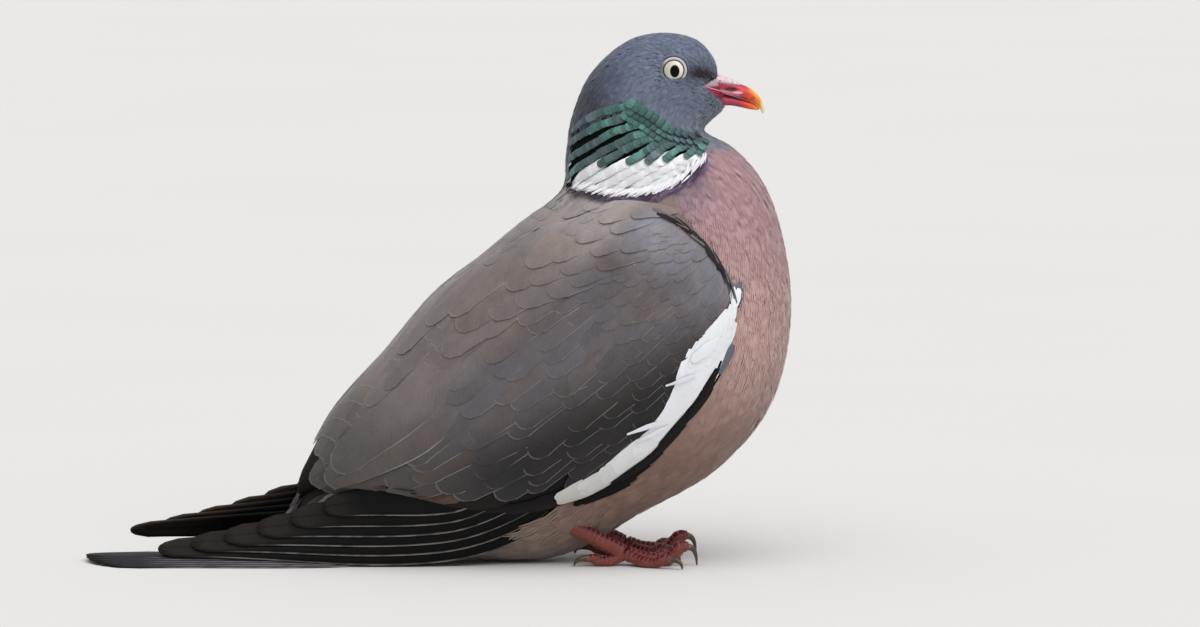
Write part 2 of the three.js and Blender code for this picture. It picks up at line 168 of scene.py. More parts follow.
def along_path(path: Sequence[Sequence[float]], share: Points) -> Points:
    """Points at some shares of a path's length, the path being straight from point to point."""
    given = np.array(path, float)
    stops = gone(given)
    return read_rows(np.asarray(share, float) * stops[-1], stops, given)


def heading_of(way: Sequence[float]) -> float:
    """The heading of a way in the side view, in degrees from +X by +Z."""
    return math.degrees(math.atan2(way[1], way[0])) % 360


class Stance:
    """Where the bird's own millimetres lie in the frame."""

    EYE_X = 22.7

    def __init__(self) -> None:
        """Finds the frame's x of the point between the feet from the eye's place."""
        low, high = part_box("eye_right")
        self.shift = (low.x + high.x) / 2 / MM - self.EYE_X

    def metres(self, points: Points) -> Points:
        """The same points in the frame's metres."""
        return (np.asarray(points, float) + (self.shift, 0, 0)) * MM

    def millimetres(self, points: Points) -> Points:
        """Points of the frame in the bird's own millimetres."""
        return np.asarray(points, float) / MM - (self.shift, 0, 0)

    def place(self, x: float, y: float, z: float) -> tuple[float, float, float]:
        """One point in the frame's metres."""
        return tuple(float(v) for v in self.metres((x, y, z)))


STANCE = Stance()


# ---------------------------------------------------------------- the body's surface


class SmoothCurve:
    """A centripetal Catmull-Rom curve through a few points, read at many places at once."""

    def __init__(self, points: Sequence[Sequence[float]]) -> None:
        """Works out the four cubic terms of each stretch.

        Args:
            points: the points that the curve passes through.
        """
        given = np.array(points, float)
        first, last = 2 * given[0] - given[1], 2 * given[-1] - given[-2]
        padded = np.vstack([first, given, last])
        self.stretches = len(given) - 1
        terms = []
        for i in range(self.stretches):
            p0, p1, p2, p3 = padded[i : i + 4]
            gaps = [max(np.linalg.norm(b - a), 1e-4) ** 0.5 for a, b in ((p0, p1), (p1, p2), (p2, p3))]
            d0, d1, d2 = gaps
            start = ((p1 - p0) / d0 - (p2 - p0) / (d0 + d1) + (p2 - p1) / d1) * d1
            end = ((p2 - p1) / d1 - (p3 - p1) / (d1 + d2) + (p3 - p2) / d2) * d1
            terms.append((p1, start, 3 * (p2 - p1) - 2 * start - end, 2 * (p1 - p2) + start + end))
        self.terms = np.array(terms)

    def __call__(self, at: Points) -> Points:
        """The curve's points.

        Args:
            at: places counted in given points from the first.

        Returns:
            One point for each place, along a new last axis.
        """
        at = np.clip(np.asarray(at, float), 0, self.stretches)
        which = np.minimum(at.astype(int), self.stretches - 1)
        t = (at - which)[..., None]
        a, b, c, d = (self.terms[which, k] for k in range(4))
        return a + t * (b + t * (c + t * d))


class BodySurface:
    """The feathered outline of head, neck and trunk as one surface over at and turn."""

    STEP = 0.01

    def __init__(self) -> None:
        """Draws the curves through the slices."""
        self.back = SmoothCurve([piece.back for piece in SLICES])
        self.belly = SmoothCurve([piece.belly for piece in SLICES])
        self.girth = SmoothCurve([(piece.half, piece.lean) for piece in SLICES])
        winged = [piece for piece in SLICES if piece.wing]
        self.first_winged = SLICES.index(winged[0])
        self.band = SmoothCurve([piece.wing for piece in winged])

    def point(self, at: Points, turn: Points) -> Points:
        """Points of the surface.

        Args:
            at: slice numbers from the face.
            turn: parts of the way round from the back by the right side.

        Returns:
            x, y and z in millimetres, along a new last axis.
        """
        at, turn = np.broadcast_arrays(np.asarray(at, float), np.asarray(turn, float))
        back, belly, girth = self.back(at), self.belly(at), self.girth(at)
        angle = turn * 2 * np.pi
        up, out = (np.sign(w) * np.abs(w) ** FULLNESS for w in (np.cos(angle), np.sin(angle)))
        flat = (back + belly) / 2 + (back - belly) / 2 * up[..., None]
        half, lean = girth[..., 0], girth[..., 1]
        y = -half * out * (1 + lean * up)
        return np.stack([flat[..., 0], y, np.maximum(flat[..., 1], BELLY_CLEARANCE)], axis=-1)

    def slopes(self, at: Points, turn: Points) -> tuple[Points, Points, Points]:
        """How the surface runs at some places.

        Args:
            at: slice numbers.
            turn: parts of the way round.

        Returns:
            The change of place for each slice along, for each whole turn, and the outward normal.
        """
        low = np.clip(np.asarray(at, float) - self.STEP, 0, LAST_SLICE)
        high = np.clip(np.asarray(at, float) + self.STEP, 0, LAST_SLICE)
        along = (self.point(high, turn) - self.point(low, turn)) / (high - low)[..., None]
        around = (self.point(at, turn + self.STEP) - self.point(at, turn - self.STEP)) / (2 * self.STEP)
        return along, around, unit(np.cross(along, around))

    def lifted(self, at: Points, turn: Points, lift: Points) -> Points:
        """Points at a height above the surface, in millimetres, below it where lift is negative."""
        normal = self.slopes(at, turn)[2]
        return self.point(at, turn) + normal * np.asarray(lift, float)[..., None]

    def sheet(self, at: Points, columns: int, lift: Points) -> Points:
        """A grid of points right round the body at some slices, at a height above its surface."""
        return self.lifted(at[:, None], np.linspace(0, 1, columns)[None, :], lift)

    def under_wing(self, at: Points, turn: Points) -> Points:
        """How far inside the folded wing's cover a place lies, as a part of a turn."""
        side = from_back(turn)
        band = self.band(np.asarray(at, float) - self.first_winged)
        inside = np.minimum(side - band[..., 0], band[..., 1] - side)
        within = (at > FoldedWing.OPENS_AT) & (at < FoldedWing.CLOSES_AT)
        return np.where(within, inside, -1.0)


SURFACE = BodySurface()


class Unwrap:
    """The skin's own unwrap: which turn and slice of the body a place lies nearest to."""

    ROWS = 170
    COLUMNS = 96

    def __init__(self) -> None:
        """Samples the body's surface."""
        at = np.linspace(0, LAST_SLICE, self.ROWS)
        turn = np.arange(self.COLUMNS) / self.COLUMNS
        self.flat = np.stack(np.meshgrid(turn, at / LAST_SLICE), -1).reshape(-1, 2)
        places = SURFACE.point(at[:, None], turn[None, :]).reshape(-1, 3)
        self.tree = KDTree(len(places))
        for number, place in enumerate(places):
            self.tree.insert(place, number)
        self.tree.balance()

    def __call__(self, place: Points) -> Points:
        """The two coordinates of the sampled place that is nearest, as a row."""
        return self.flat[self.tree.find(place)[1]][None]


UNWRAP = Unwrap()


class Hull:
    """A surface of triangles that feathers can be walked over.

    It is looked at from OUTSIDE on either side and from OVER it. BESIDE and ABOVE are where the
    nearest point is taken from if a line of sight misses. All are millimetres from the middle.
    """

    OUTSIDE = 200.0
    OVER = 300.0
    BESIDE = 20.0
    ABOVE = 100.0

    def __init__(self, sheets: Iterable[Points]) -> None:
        """Builds the search tree.

        Args:
            sheets: grids of points in millimetres, whose rows by columns face outwards.
        """
        points: list[Points] = []
        faces: list[tuple[int, int, int, int]] = []
        for sheet in sheets:
            rows, columns = sheet.shape[:2]
            start = sum(len(p) for p in points)
            points.append(sheet.reshape(-1, 3))
            for i in range(rows - 1):
                for j in range(columns - 1):
                    a = start + i * columns + j
                    faces.append((a, a + columns, a + columns + 1, a + 1))
        everything = np.vstack(points)
        self.tree = BVHTree.FromPolygons([Vector(p) for p in everything], faces)

    def beside(self, x: float, z: float, side: Side) -> Vector:
        """The point of the hull that is seen from one side.

        Args:
            x: place along the bird.
            z: height.
            side: where it is looked at from.

        Returns:
            The first point met, or the nearest one where the line misses the hull.
        """
        start = Vector((x, side.value * self.OUTSIDE, z))
        hit = self.tree.ray_cast(start, Vector((0, -side.value, 0)))[0]
        if hit is not None:
            return hit
        return self.tree.find_nearest(Vector((x, side.value * self.BESIDE, z)))[0]

    def below(self, x: float, y: float) -> Vector:
        """The point of the hull that is seen from above, or the nearest one."""
        hit = self.tree.ray_cast(Vector((x, y, self.OVER)), Vector((0, 0, -1)))[0]
        return hit if hit is not None else self.tree.find_nearest(Vector((x, y, self.ABOVE)))[0]


class Lie:
    """Real distances along and round the body's surface, so that feathers keep their size on it."""

    COLUMNS = 96
    ROWS = 680
    PITCH = 0.5

    def __init__(self) -> None:
        """Measures every line along the body and how fast the surface turns."""
        at = np.linspace(0, LAST_SLICE, self.ROWS)
        turn = np.arange(self.COLUMNS) / self.COLUMNS
        grid = SURFACE.point(at[:, None], turn[None, :])
        steps = np.linalg.norm(np.diff(grid, axis=0), axis=-1)
        self.length = np.vstack([np.zeros(self.COLUMNS), np.cumsum(steps, axis=0)])
        self.count = int(self.length.max() / self.PITCH) + 2
        evenly = np.arange(self.count) * self.PITCH
        self.inverse = np.stack([np.interp(evenly, self.length[:, k], at) for k in range(self.COLUMNS)], 1)
        round_step = np.linalg.norm(np.roll(grid, -1, 1) - np.roll(grid, 1, 1), axis=-1)
        self.speed = np.maximum(round_step * self.COLUMNS / 2, 4.0)

    def _read(self, table: Points, row: Points, turn: Points) -> Points:
        """A table's value between its rows and columns."""
        row = np.clip(row, 0, len(table) - 1.001)
        column = np.mod(turn, 1) * self.COLUMNS
        i, j = row.astype(int), column.astype(int) % self.COLUMNS
        u, v = row - i, column - np.floor(column)
        k = (j + 1) % self.COLUMNS
        low = table[i, j] * (1 - v) + table[i, k] * v
        high = table[i + 1, j] * (1 - v) + table[i + 1, k] * v
        return low * (1 - u) + high * u

    def moved(self, at: Points, turn: Points, along: Points, across: Points) -> tuple[Points, Points]:
        """Where a step over the surface leads.

        Args:
            at: slice numbers to start from.
            turn: parts of the way round to start from.
            along: millimetres towards the tail.
            across: millimetres round, by the right side.

        Returns:
            The new at and turn.
        """
        start = self._read(self.length, at / LAST_SLICE * (self.ROWS - 1), turn)
        there = self._read(self.inverse, (start + along) / self.PITCH, turn)
        speed = self._read(self.speed, there / LAST_SLICE * (self.ROWS - 1), turn)
        return there, turn + across / speed

    def areas(self, at: Points, turn: Points) -> Points:
        """How many square millimetres one slice by one turn holds at some places."""
        along, around, _ = SURFACE.slopes(at, turn)
        return np.linalg.norm(np.cross(along, around), axis=-1)


LIE = Lie()


# ---------------------------------------------------------------- meshes


def wrapped_grid(around: int, along: int, place: Callable[[Points, Points], Points]) -> Shape:
    """A closed tube or bag, made from a grid that is wrapped round and has its ends closed.

    Its wrap attribute holds the cosine and sine of the way round and the part of the way along.

    Args:
        around: faces round the tube.
        along: faces from end to end.
        place: gives the points in millimetres for parts of the way round and along, both 0 to 1.

    Returns:
        The mesh, in metres in the frame.
    """
    shape = bmesh.new()
    wrap = shape.verts.layers.float_vector.new("wrap")
    bmesh.ops.create_grid(shape, x_segments=around, y_segments=along, size=1)
    flat = np.array([vert.co for vert in shape.verts])
    u, v = (flat[:, 0] + 1) / 2, (flat[:, 1] + 1) / 2
    places = STANCE.metres(place(u, v))
    wraps = np.stack([np.cos(u * 2 * np.pi), np.sin(u * 2 * np.pi), v], -1)
    for vert, point, turned in zip(shape.verts, places, wraps):
        vert.co = point
        vert[wrap] = turned
    bmesh.ops.remove_doubles(shape, verts=shape.verts, dist=0.00001)
    open_edges = [edge for edge in shape.edges if edge.is_boundary]
    bmesh.ops.holes_fill(shape, edges=open_edges, sides=0)
    bmesh.ops.recalc_face_normals(shape, faces=shape.faces)
    return shape


def add_shape(shape: Shape, other: Shape) -> None:
    """Adds another mesh to a mesh, and frees it.

    Args:
        shape: the mesh that grows.
        other: the mesh that is added.
    """
    spare = bpy.data.meshes.new("spare")
    other.to_mesh(spare)
    other.free()
    shape.from_mesh(spare)
    bpy.data.meshes.remove(spare)


def read_vectors(mesh: bpy.types.Mesh, name: str) -> Points:
    """A mesh's vector attribute, one row for each point."""
    values = np.zeros(len(mesh.vertices) * 3, np.float32)
    mesh.attributes[name].data.foreach_get("vector", values)
    return values.reshape(-1, 3).astype(float)


def paint(mesh: bpy.types.Mesh, plume: Points) -> None:
    """Stores a linear colour for each point of a mesh, for its finish to read."""
    colours = mesh.color_attributes.new("plume", "FLOAT_COLOR", "POINT")
    colours.data.foreach_set("color", np.hstack([plume, np.ones((len(plume), 1))]).ravel())


def finished(shape: Shape, name: str, material: Material, slot: str) -> Piece:
    """Turns a bmesh into a piece that rides on the bird.

    Args:
        shape: the mesh, which is used up.
        name: the piece's name.
        material: its finish.
        slot: the record's material slot.

    Returns:
        The piece, with smooth faces.
    """
    mesh = bpy.data.meshes.new(name)
    shape.to_mesh(mesh)
    shape.free()
    mesh.polygons.foreach_set("use_smooth", np.ones(len(mesh.polygons), bool))
    return as_piece(mesh, name, material, slot)


def as_piece(mesh: bpy.types.Mesh, name: str, material: Material, slot: str) -> Piece:
    """Puts a mesh in the scene as a piece of the bird.

    Args:
        mesh: the finished mesh, in metres in the frame.
        name: the piece's name.
        material: its finish.
        slot: the record's material slot; not used.

    Returns:
        The piece.
    """
    mesh.materials.append(material)
    piece = linked(name, mesh)
    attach(piece, BODY)
    LOG.info("%s: %d faces", name, len(mesh.polygons))
    return piece


def linked(name: str, data: bpy.types.ID) -> Piece:
    """A new object in the scene that shows a mesh, a light or a camera."""
    thing = bpy.data.objects.new(name, data)
    bpy.context.scene.collection.objects.link(thing)
    return thing


@dataclass(frozen=True)
class Vane:
    """The pattern that a kind of feather is cut to.

    columns and rows count its faces, root is its width at the root as a share of the widest, widest
    the part of the way along where it gets there, taper how much it narrows again, and round_tip how
    round its end is. From part_from on, the barbs part into one strip for each column, which fray
    narrows. A thick vane is a closed blade.
    """

    columns: int = 4
    rows: int = 4
    root: float = 0.35
    widest: float = 0.5
    taper: float = 0.0
    round_tip: float = 1.0
    part_from: float = 1.0
    fray: float = 0.5
    thickness: float = 0.0

    def cut(self) -> "Pattern":
        """Cuts the pattern from a grid.

        Returns:
            The pattern's points and faces.
        """
        shape = bmesh.new()
        bmesh.ops.create_grid(shape, x_segments=self.columns, y_segments=self.rows, size=1)
        shape.verts.ensure_lookup_table()
        if self.part_from < 1:
            self._part(shape)
        if self.thickness > 0:
            bmesh.ops.solidify(shape, geom=shape.faces, thickness=self.thickness)
        bmesh.ops.recalc_face_normals(shape, faces=shape.faces)
        shape.verts.index_update()
        half = 1 / self.columns
        middles = []
        for vert in shape.verts:
            centres = [face.calc_center_median().x for face in vert.link_faces]
            own = centres and max(centres) - min(centres) < half and self.part_from < 1
            middles.append(centres[0] if own else vert.co.x)
        place = np.array([vert.co for vert in shape.verts])
        faces = np.array([[vert.index for vert in face.verts] for face in shape.faces])
        shape.free()
        along = (place[:, 1] + 1) / 2
        gone = ease(along, self.part_from, 1.0) if self.part_from < 1 else np.zeros_like(along)
        middles = np.array(middles)
        across = middles + (place[:, 0] - middles) * (1 - self.fray * gone)
        layer = place[:, 2] - place[:, 2].max() if self.thickness > 0 else np.zeros_like(along)
        return Pattern(self, across, place[:, 0], along, layer, middles, faces)

    def _part(self, shape: Shape) -> None:
        """Splits the edges between columns towards the tip."""
        start = 2 * self.part_from - 1
        inner = [
            edge
            for edge in shape.edges
            if abs(edge.verts[0].co.x - edge.verts[1].co.x) < 1e-5
            and abs(edge.verts[0].co.x) < 0.999
            and min(edge.verts[0].co.y, edge.verts[1].co.y) > start - 1e-4
        ]
        bmesh.ops.split_edges(shape, edges=inner)


@dataclass(frozen=True)
class Pattern:
    """A cut vane: for each point its place across and along, its strip's middle and its layer."""

    vane: Vane
    across: Points
    edge: Points
    along: Points
    layer: Points
    strip: Points
    faces: Points

    def laid_out(self, length: Points, width: Points, ragged: Points) -> tuple[Points, Points]:
        """The pattern at real size.

        Args:
            length: each feather's length in millimetres.
            width: each feather's width.
            ragged: each feather's chance number, 0 to 1, which makes its strips uneven.

        Returns:
            Millimetres across and along, one row for each feather.
        """
        vane = self.vane
        grown = vane.root + (1 - vane.root) * np.sin(np.minimum(self.along / vane.widest, 1) * np.pi / 2)
        narrowed = 1 - vane.taper * ease(self.along, vane.widest, 1.0)
        across = width[:, None] / 2 * self.across * grown * narrowed
        fall = vane.round_tip * (1 - np.sqrt(np.maximum(1 - (self.edge * 0.97) ** 2, 0)))
        along = length[:, None] * self.along
        along = along - width[:, None] / 2 * fall * narrowed * self.along**3
        if vane.part_from < 1:
            wave = np.sin(self.strip * 37.0 + ragged[:, None] * 97.0)
            along = along * (1 + 0.09 * wave * ease(self.along, vane.part_from, 1))
        return across, along

    def single(self, length: float, width: float, ragged: float) -> tuple[Points, Points]:
        """The pattern at the real size of one feather; see laid_out."""
        across, along = self.laid_out(*(np.array([value]) for value in (length, width, ragged)))
        return across[0], along[0]


@dataclass
class Batch:
    """Feathers of one pattern, ready to be joined: one row of points for each feather.

    normals are the ways in which the points catch the light, size the millimetres across and along,
    root each feather's place on the skin's unwrap, plume the points' colours, and chance a number
    from 0 to 1 for each feather.
    """

    pattern: Pattern
    points: Points
    normals: Points
    size: tuple[Points, Points]
    root: Points
    plume: Points
    chance: Points

    def faces(self) -> Points:
        """The pattern's faces, turned so that they look outwards."""
        faces = self.pattern.faces
        corners = self.points[0][faces]
        facing = np.cross(corners[:, 2] - corners[:, 0], corners[:, 3] - corners[:, 1])
        outwards = self.normals[0][faces[:, 0]]
        if self.pattern.vane.thickness > 0:
            outwards = corners.mean(1) - self.points[0].mean(0)
        return faces[:, ::-1] if (facing * outwards).sum() < 0 else faces


class FeatherMesh:
    """Many feathers joined into one mesh, with what their finish reads."""

    PATCH = 0.003

    def __init__(self) -> None:
        """Starts empty."""
        self.rows: dict[str, list[Points]] = {
            name: [] for name in ("points", "normals", "faces", "OFBake", "Vane", "Rim", "plume", "chance")
        }
        self.total = 0

    def add(self, batch: Batch) -> None:
        """Adds a batch of feathers.

        Args:
            batch: the feathers.
        """
        pattern = batch.pattern
        count, corners = batch.points.shape[:2]
        offset = self.total + np.arange(count)[:, None, None] * corners
        patch = np.stack([pattern.edge, pattern.along * 2 - 1], -1) * self.PATCH / 2
        rim = np.stack([(pattern.edge + 1) / 2, pattern.along], -1)
        new = {
            "points": batch.points,
            "normals": batch.normals,
            "OFBake": batch.root[:, None, :] + patch[None],
            "Vane": np.stack(batch.size, -1),
            "Rim": np.broadcast_to(rim, (count, corners, 2)),
            "plume": batch.plume,
            "chance": np.repeat(batch.chance, corners)[:, None],
        }
        for name, values in new.items():
            self.rows[name].append(values.reshape(-1, values.shape[-1]))
        faces = batch.faces()
        self.rows["faces"].append((faces[None] + offset).reshape(-1, faces.shape[1]))
        self.total += count * corners

    def add_one(self, pattern: Pattern, size: tuple[Points, Points], chance: float, *rows: Points) -> None:
        """Adds one feather.

        Args:
            pattern: its pattern.
            size: millimetres across and along.
            chance: its number from 0 to 1.
            rows: its points, the ways in which they catch the light, its root's place in
                millimetres and its points' colours.
        """
        points, normals, root, plume = rows
        across, along = size
        one = (points[None], normals[None], (across[None], along[None]), UNWRAP(root), plume[None])
        self.add(Batch(pattern, *one, np.array([chance])))

    def build(self, name: str, material: Material, slot: str) -> Piece:
        """Makes the piece.

        Args:
            name: the piece's name.
            material: its finish.
            slot: the record's material slot.

        Returns:
            The piece.
        """
        mesh = bpy.data.meshes.new(name)
        joined = {label: np.vstack(values) for label, values in self.rows.items()}
        points, faces = STANCE.metres(joined["points"]), joined["faces"]
        corners = faces.ravel()
        mesh.vertices.add(len(points))
        mesh.vertices.foreach_set("co", points.ravel())
        mesh.loops.add(len(corners))
        mesh.loops.foreach_set("vertex_index", corners)
        mesh.polygons.add(len(faces))
        mesh.polygons.foreach_set("loop_start", np.arange(len(faces)) * faces.shape[1])
        mesh.polygons.foreach_set("loop_total", np.full(len(faces), faces.shape[1]))
        mesh.polygons.foreach_set("use_smooth", np.ones(len(faces), bool))
        for label in ("OFBake", "Vane", "Rim"):
            layer = mesh.uv_layers.new(name=label)
            layer.data.foreach_set("uv", joined[label][corners].ravel())
        paint(mesh, joined["plume"])
        chances = mesh.attributes.new("chance", "FLOAT", "POINT")
        chances.data.foreach_set("value", joined["chance"].ravel())
        mesh.update(calc_edges=True)
        mesh.validate()
        mesh.normals_split_custom_set_from_vertices(joined["normals"].tolist())
        return as_piece(mesh, name, material, slot)


# ---------------------------------------------------------------- markings


def tone(code: str) -> Points:
    """A hex colour as three linear numbers."""
    return np.array(linear(code)[:3])


def layered(base: Points | str, *layers: tuple[Points | str, Points]) -> Points:
    """Lays colours over others in turn.

    Args:
        base: linear colours, or one hex colour.
        layers: what is laid over them, in the same way, each with its share from 0 to 1.

    Returns:
        Linear colours.
    """
    out = tone(base) if isinstance(base, str) else base
    for other, share in layers:
        share = np.clip(share, 0, 1)[..., None]
        out = out * (1 - share) + (tone(other) if isinstance(other, str) else other) * share
    return out


@dataclass(frozen=True)
class Plumage:
    """The bird's markings, read off the body's surface, with some painted shade. The skin and the coat share
    them.
    """

    crown: str = "727B92"
    # painted shade: the back of the head is darkened as if in shadow
    shaded_hindhead: str = "3D424D"
    cheek: str = "6F7789"
    # partly the lores' own dark colour, partly painted shade in the hollow between the eye and the bill
    lores: str = "231D1F"
    throat: str = "858B99"
    nape: str = "5F6878"
    fold: str = "5E5856"
    vinous: str = "B28E90"
    breast: str = "BF9D97"
    # painted shade: the belly and the vent are darkened as if in the shadow under the body, darkest low and
    # behind
    belly: str = "886B5E"
    vent: str = "84786E"
    mantle: str = "948D8B"
    rump: str = "7F8289"
    # dark quill bases at the tail root, darkened further as painted shade under the wing tips
    quill_base: str = "2A2625"
    mauve: str = "836E80"
    shoulder: str = "8D7A80"
    # painted shade: near black in the gaps between the neck patch's raised ridges
    patch_ground: str = "0D1211"
    gape: str = "8C2B45"

    def head(self, at: Points, side: Points) -> Points:
        """The hood's blue-grey colours, given how far round each place is from the back, and painted shade
        at the back of the head.
        """
        return layered(
            self.crown,
            (self.shaded_hindhead, ease(at, 3.6, 5.4)),
            (self.cheek, ease(side, 0.1, 0.24)),
            (self.throat, ease(side, 0.3, 0.45)),
        )

    def dark_and_shaded_lore(self, place: Points) -> Points:
        """How dark some places are between the eye and the bill: the lores' own dark colour and painted
        shade in the hollow there.
        """
        x, z = place[..., 0] - 35.2, place[..., 2] - 180.3
        near = np.exp(-((x / 3.4) ** 2) - ((z + 0.25 * x) / 2.0) ** 2)
        wide = np.exp(-(((x + 4.5) / 5.5) ** 2) - ((z - 1.5) / 3.5) ** 2)
        return np.minimum(1.1 * near + 0.5 * wide, 0.97)

    def neck(self, at: Points, side: Points) -> Points:
        """The neck's colours: slate behind, dull vinous at the sides, vinous in front."""
        return layered(
            self.nape,
            (self.fold, ease(at, 6.7, 7.6)),
            (self.shoulder, ease(side, 0.08, 0.16)),
            (self.vinous, ease(side, 0.22, 0.34)),
        )

    def trunk(self, at: Points, side: Points, place: Points) -> Points:
        """The trunk's colours: pink breast, cream belly and grey vent with painted shade, brown mantle, grey
        rump and dark quill bases in painted shade.
        """
        x, z = place[..., 0], place[..., 2]
        back = 1 - ease(side, 0.13, 0.18)
        return layered(
            self.vinous,
            (self.breast, 1 - ease(z, 95, 140)),
            (self.belly, 1 - ease(z, 40, 95)),
            (self.vent, 1 - ease(x + 0.3 * z, -50, 30)),
            (self.mantle, back),
            (self.rump, back * ease(at, 13.0, 14.5)),
            (self.quill_base, ease(at, 13.6, 14.4) * back),
        )

    def colours(self, at: Points, turn: Points) -> Points:
        """The plumage's colour at some places.

        Args:
            at: slice numbers.
            turn: parts of the way round.

        Returns:
            Linear colours along a new last axis.
        """
        at, turn = np.broadcast_arrays(np.asarray(at, float), np.asarray(turn, float))
        side = from_back(turn)
        place = SURFACE.point(at, turn)
        return layered(
            self.head(at, side),
            (self.lores, self.dark_and_shaded_lore(place)),
            (self.neck(at, side), ease(at, 5.9, 6.7)),
            (self.trunk(at, side, place), ease(at, 7.9, 8.7)),
            (self.mauve, NeckPatch.fringe(place)),
        )


PLUMAGE = Plumage()


@dataclass(frozen=True)
class WingTones:
    """The folded wing's colours by place: warm brown-grey behind, slate below darkened by painted shade, and
    blue-grey in front with painted light on its top.
    """

    middle: str = "5E595D"
    scapular: str = "6E6664"
    # partly the paler shoulder and blue-grey lesser coverts, partly painted light on the wing's top front
    shoulder: str = "968F8E"
    lit_lesser: str = "86858F"
    mauve: str = "84746F"
    worn: tuple[float, float, float] = (1.13, 1.0, 0.91)
    # slate of the lower coverts, darkened almost to black with painted shade where the wing faces down
    lower: str = "1D1B1D"
    wrist: str = "73727B"
    tertial: str = "514C4A"
    # painted shade: the wing bed's rear end is near black where it shows in the shadow under the feathers
    hidden: str = "1C1817"

    def __call__(self, places: Points) -> Points:
        """The wing's colour at some places.

        Args:
            places: points in millimetres.

        Returns:
            Linear colours along the last axis.
        """
        x, z = places[..., 0], places[..., 2]
        back = -0.743 * x - 0.669 * z
        down = 0.669 * x - 0.743 * z
        front = 1 - ease(back, -102, -76)
        return layered(
            self.middle,
            (self.tertial, ease(back, -10, 35)),
            (self.lower, ease(down + 0.25 * back, -80, -50) * (1 - ease(back, 0, 60))),
            (self.wrist, front * ease(down, -96, -82) * (1 - ease(down, -50, -40))),
            (self.lit_lesser, (1 - ease(back, -98, -76)) * (1 - ease(down, -86, -66))),
            (self.scapular, (1 - ease(down, -96, -84)) * (1 - ease(back, 5, 45))),
            (self.shoulder, (1 - ease(back, -92, -50)) * (1 - ease(down, -98, -88))),
            (self.mauve, ease(0.76 * x + z, 143, 147)),
        )


WING_TONES = WingTones()


# ---------------------------------------------------------------- finishes


class Op(Enum):
    """What some nodes are set to do, as the node's type and its settings."""

    ABSOLUTE = ("Math", {"operation": "ABSOLUTE"})
    ADD = ("Math", {"operation": "ADD"})
    ARCTAN2 = ("Math", {"operation": "ARCTAN2"})
    DIVIDE = ("Math", {"operation": "DIVIDE"})
    MAXIMUM = ("Math", {"operation": "MAXIMUM"})
    MULTIPLY = ("Math", {"operation": "MULTIPLY"})
    MULTIPLY_ADD = ("Math", {"operation": "MULTIPLY_ADD"})
    SINE = ("Math", {"operation": "SINE"})
    SQRT = ("Math", {"operation": "SQRT"})
    SUBTRACT = ("Math", {"operation": "SUBTRACT"})
    BAND = ("MapRange", {"interpolation_type": "SMOOTHSTEP"})
    BLEND = ("Mix", {"data_type": "RGBA"})


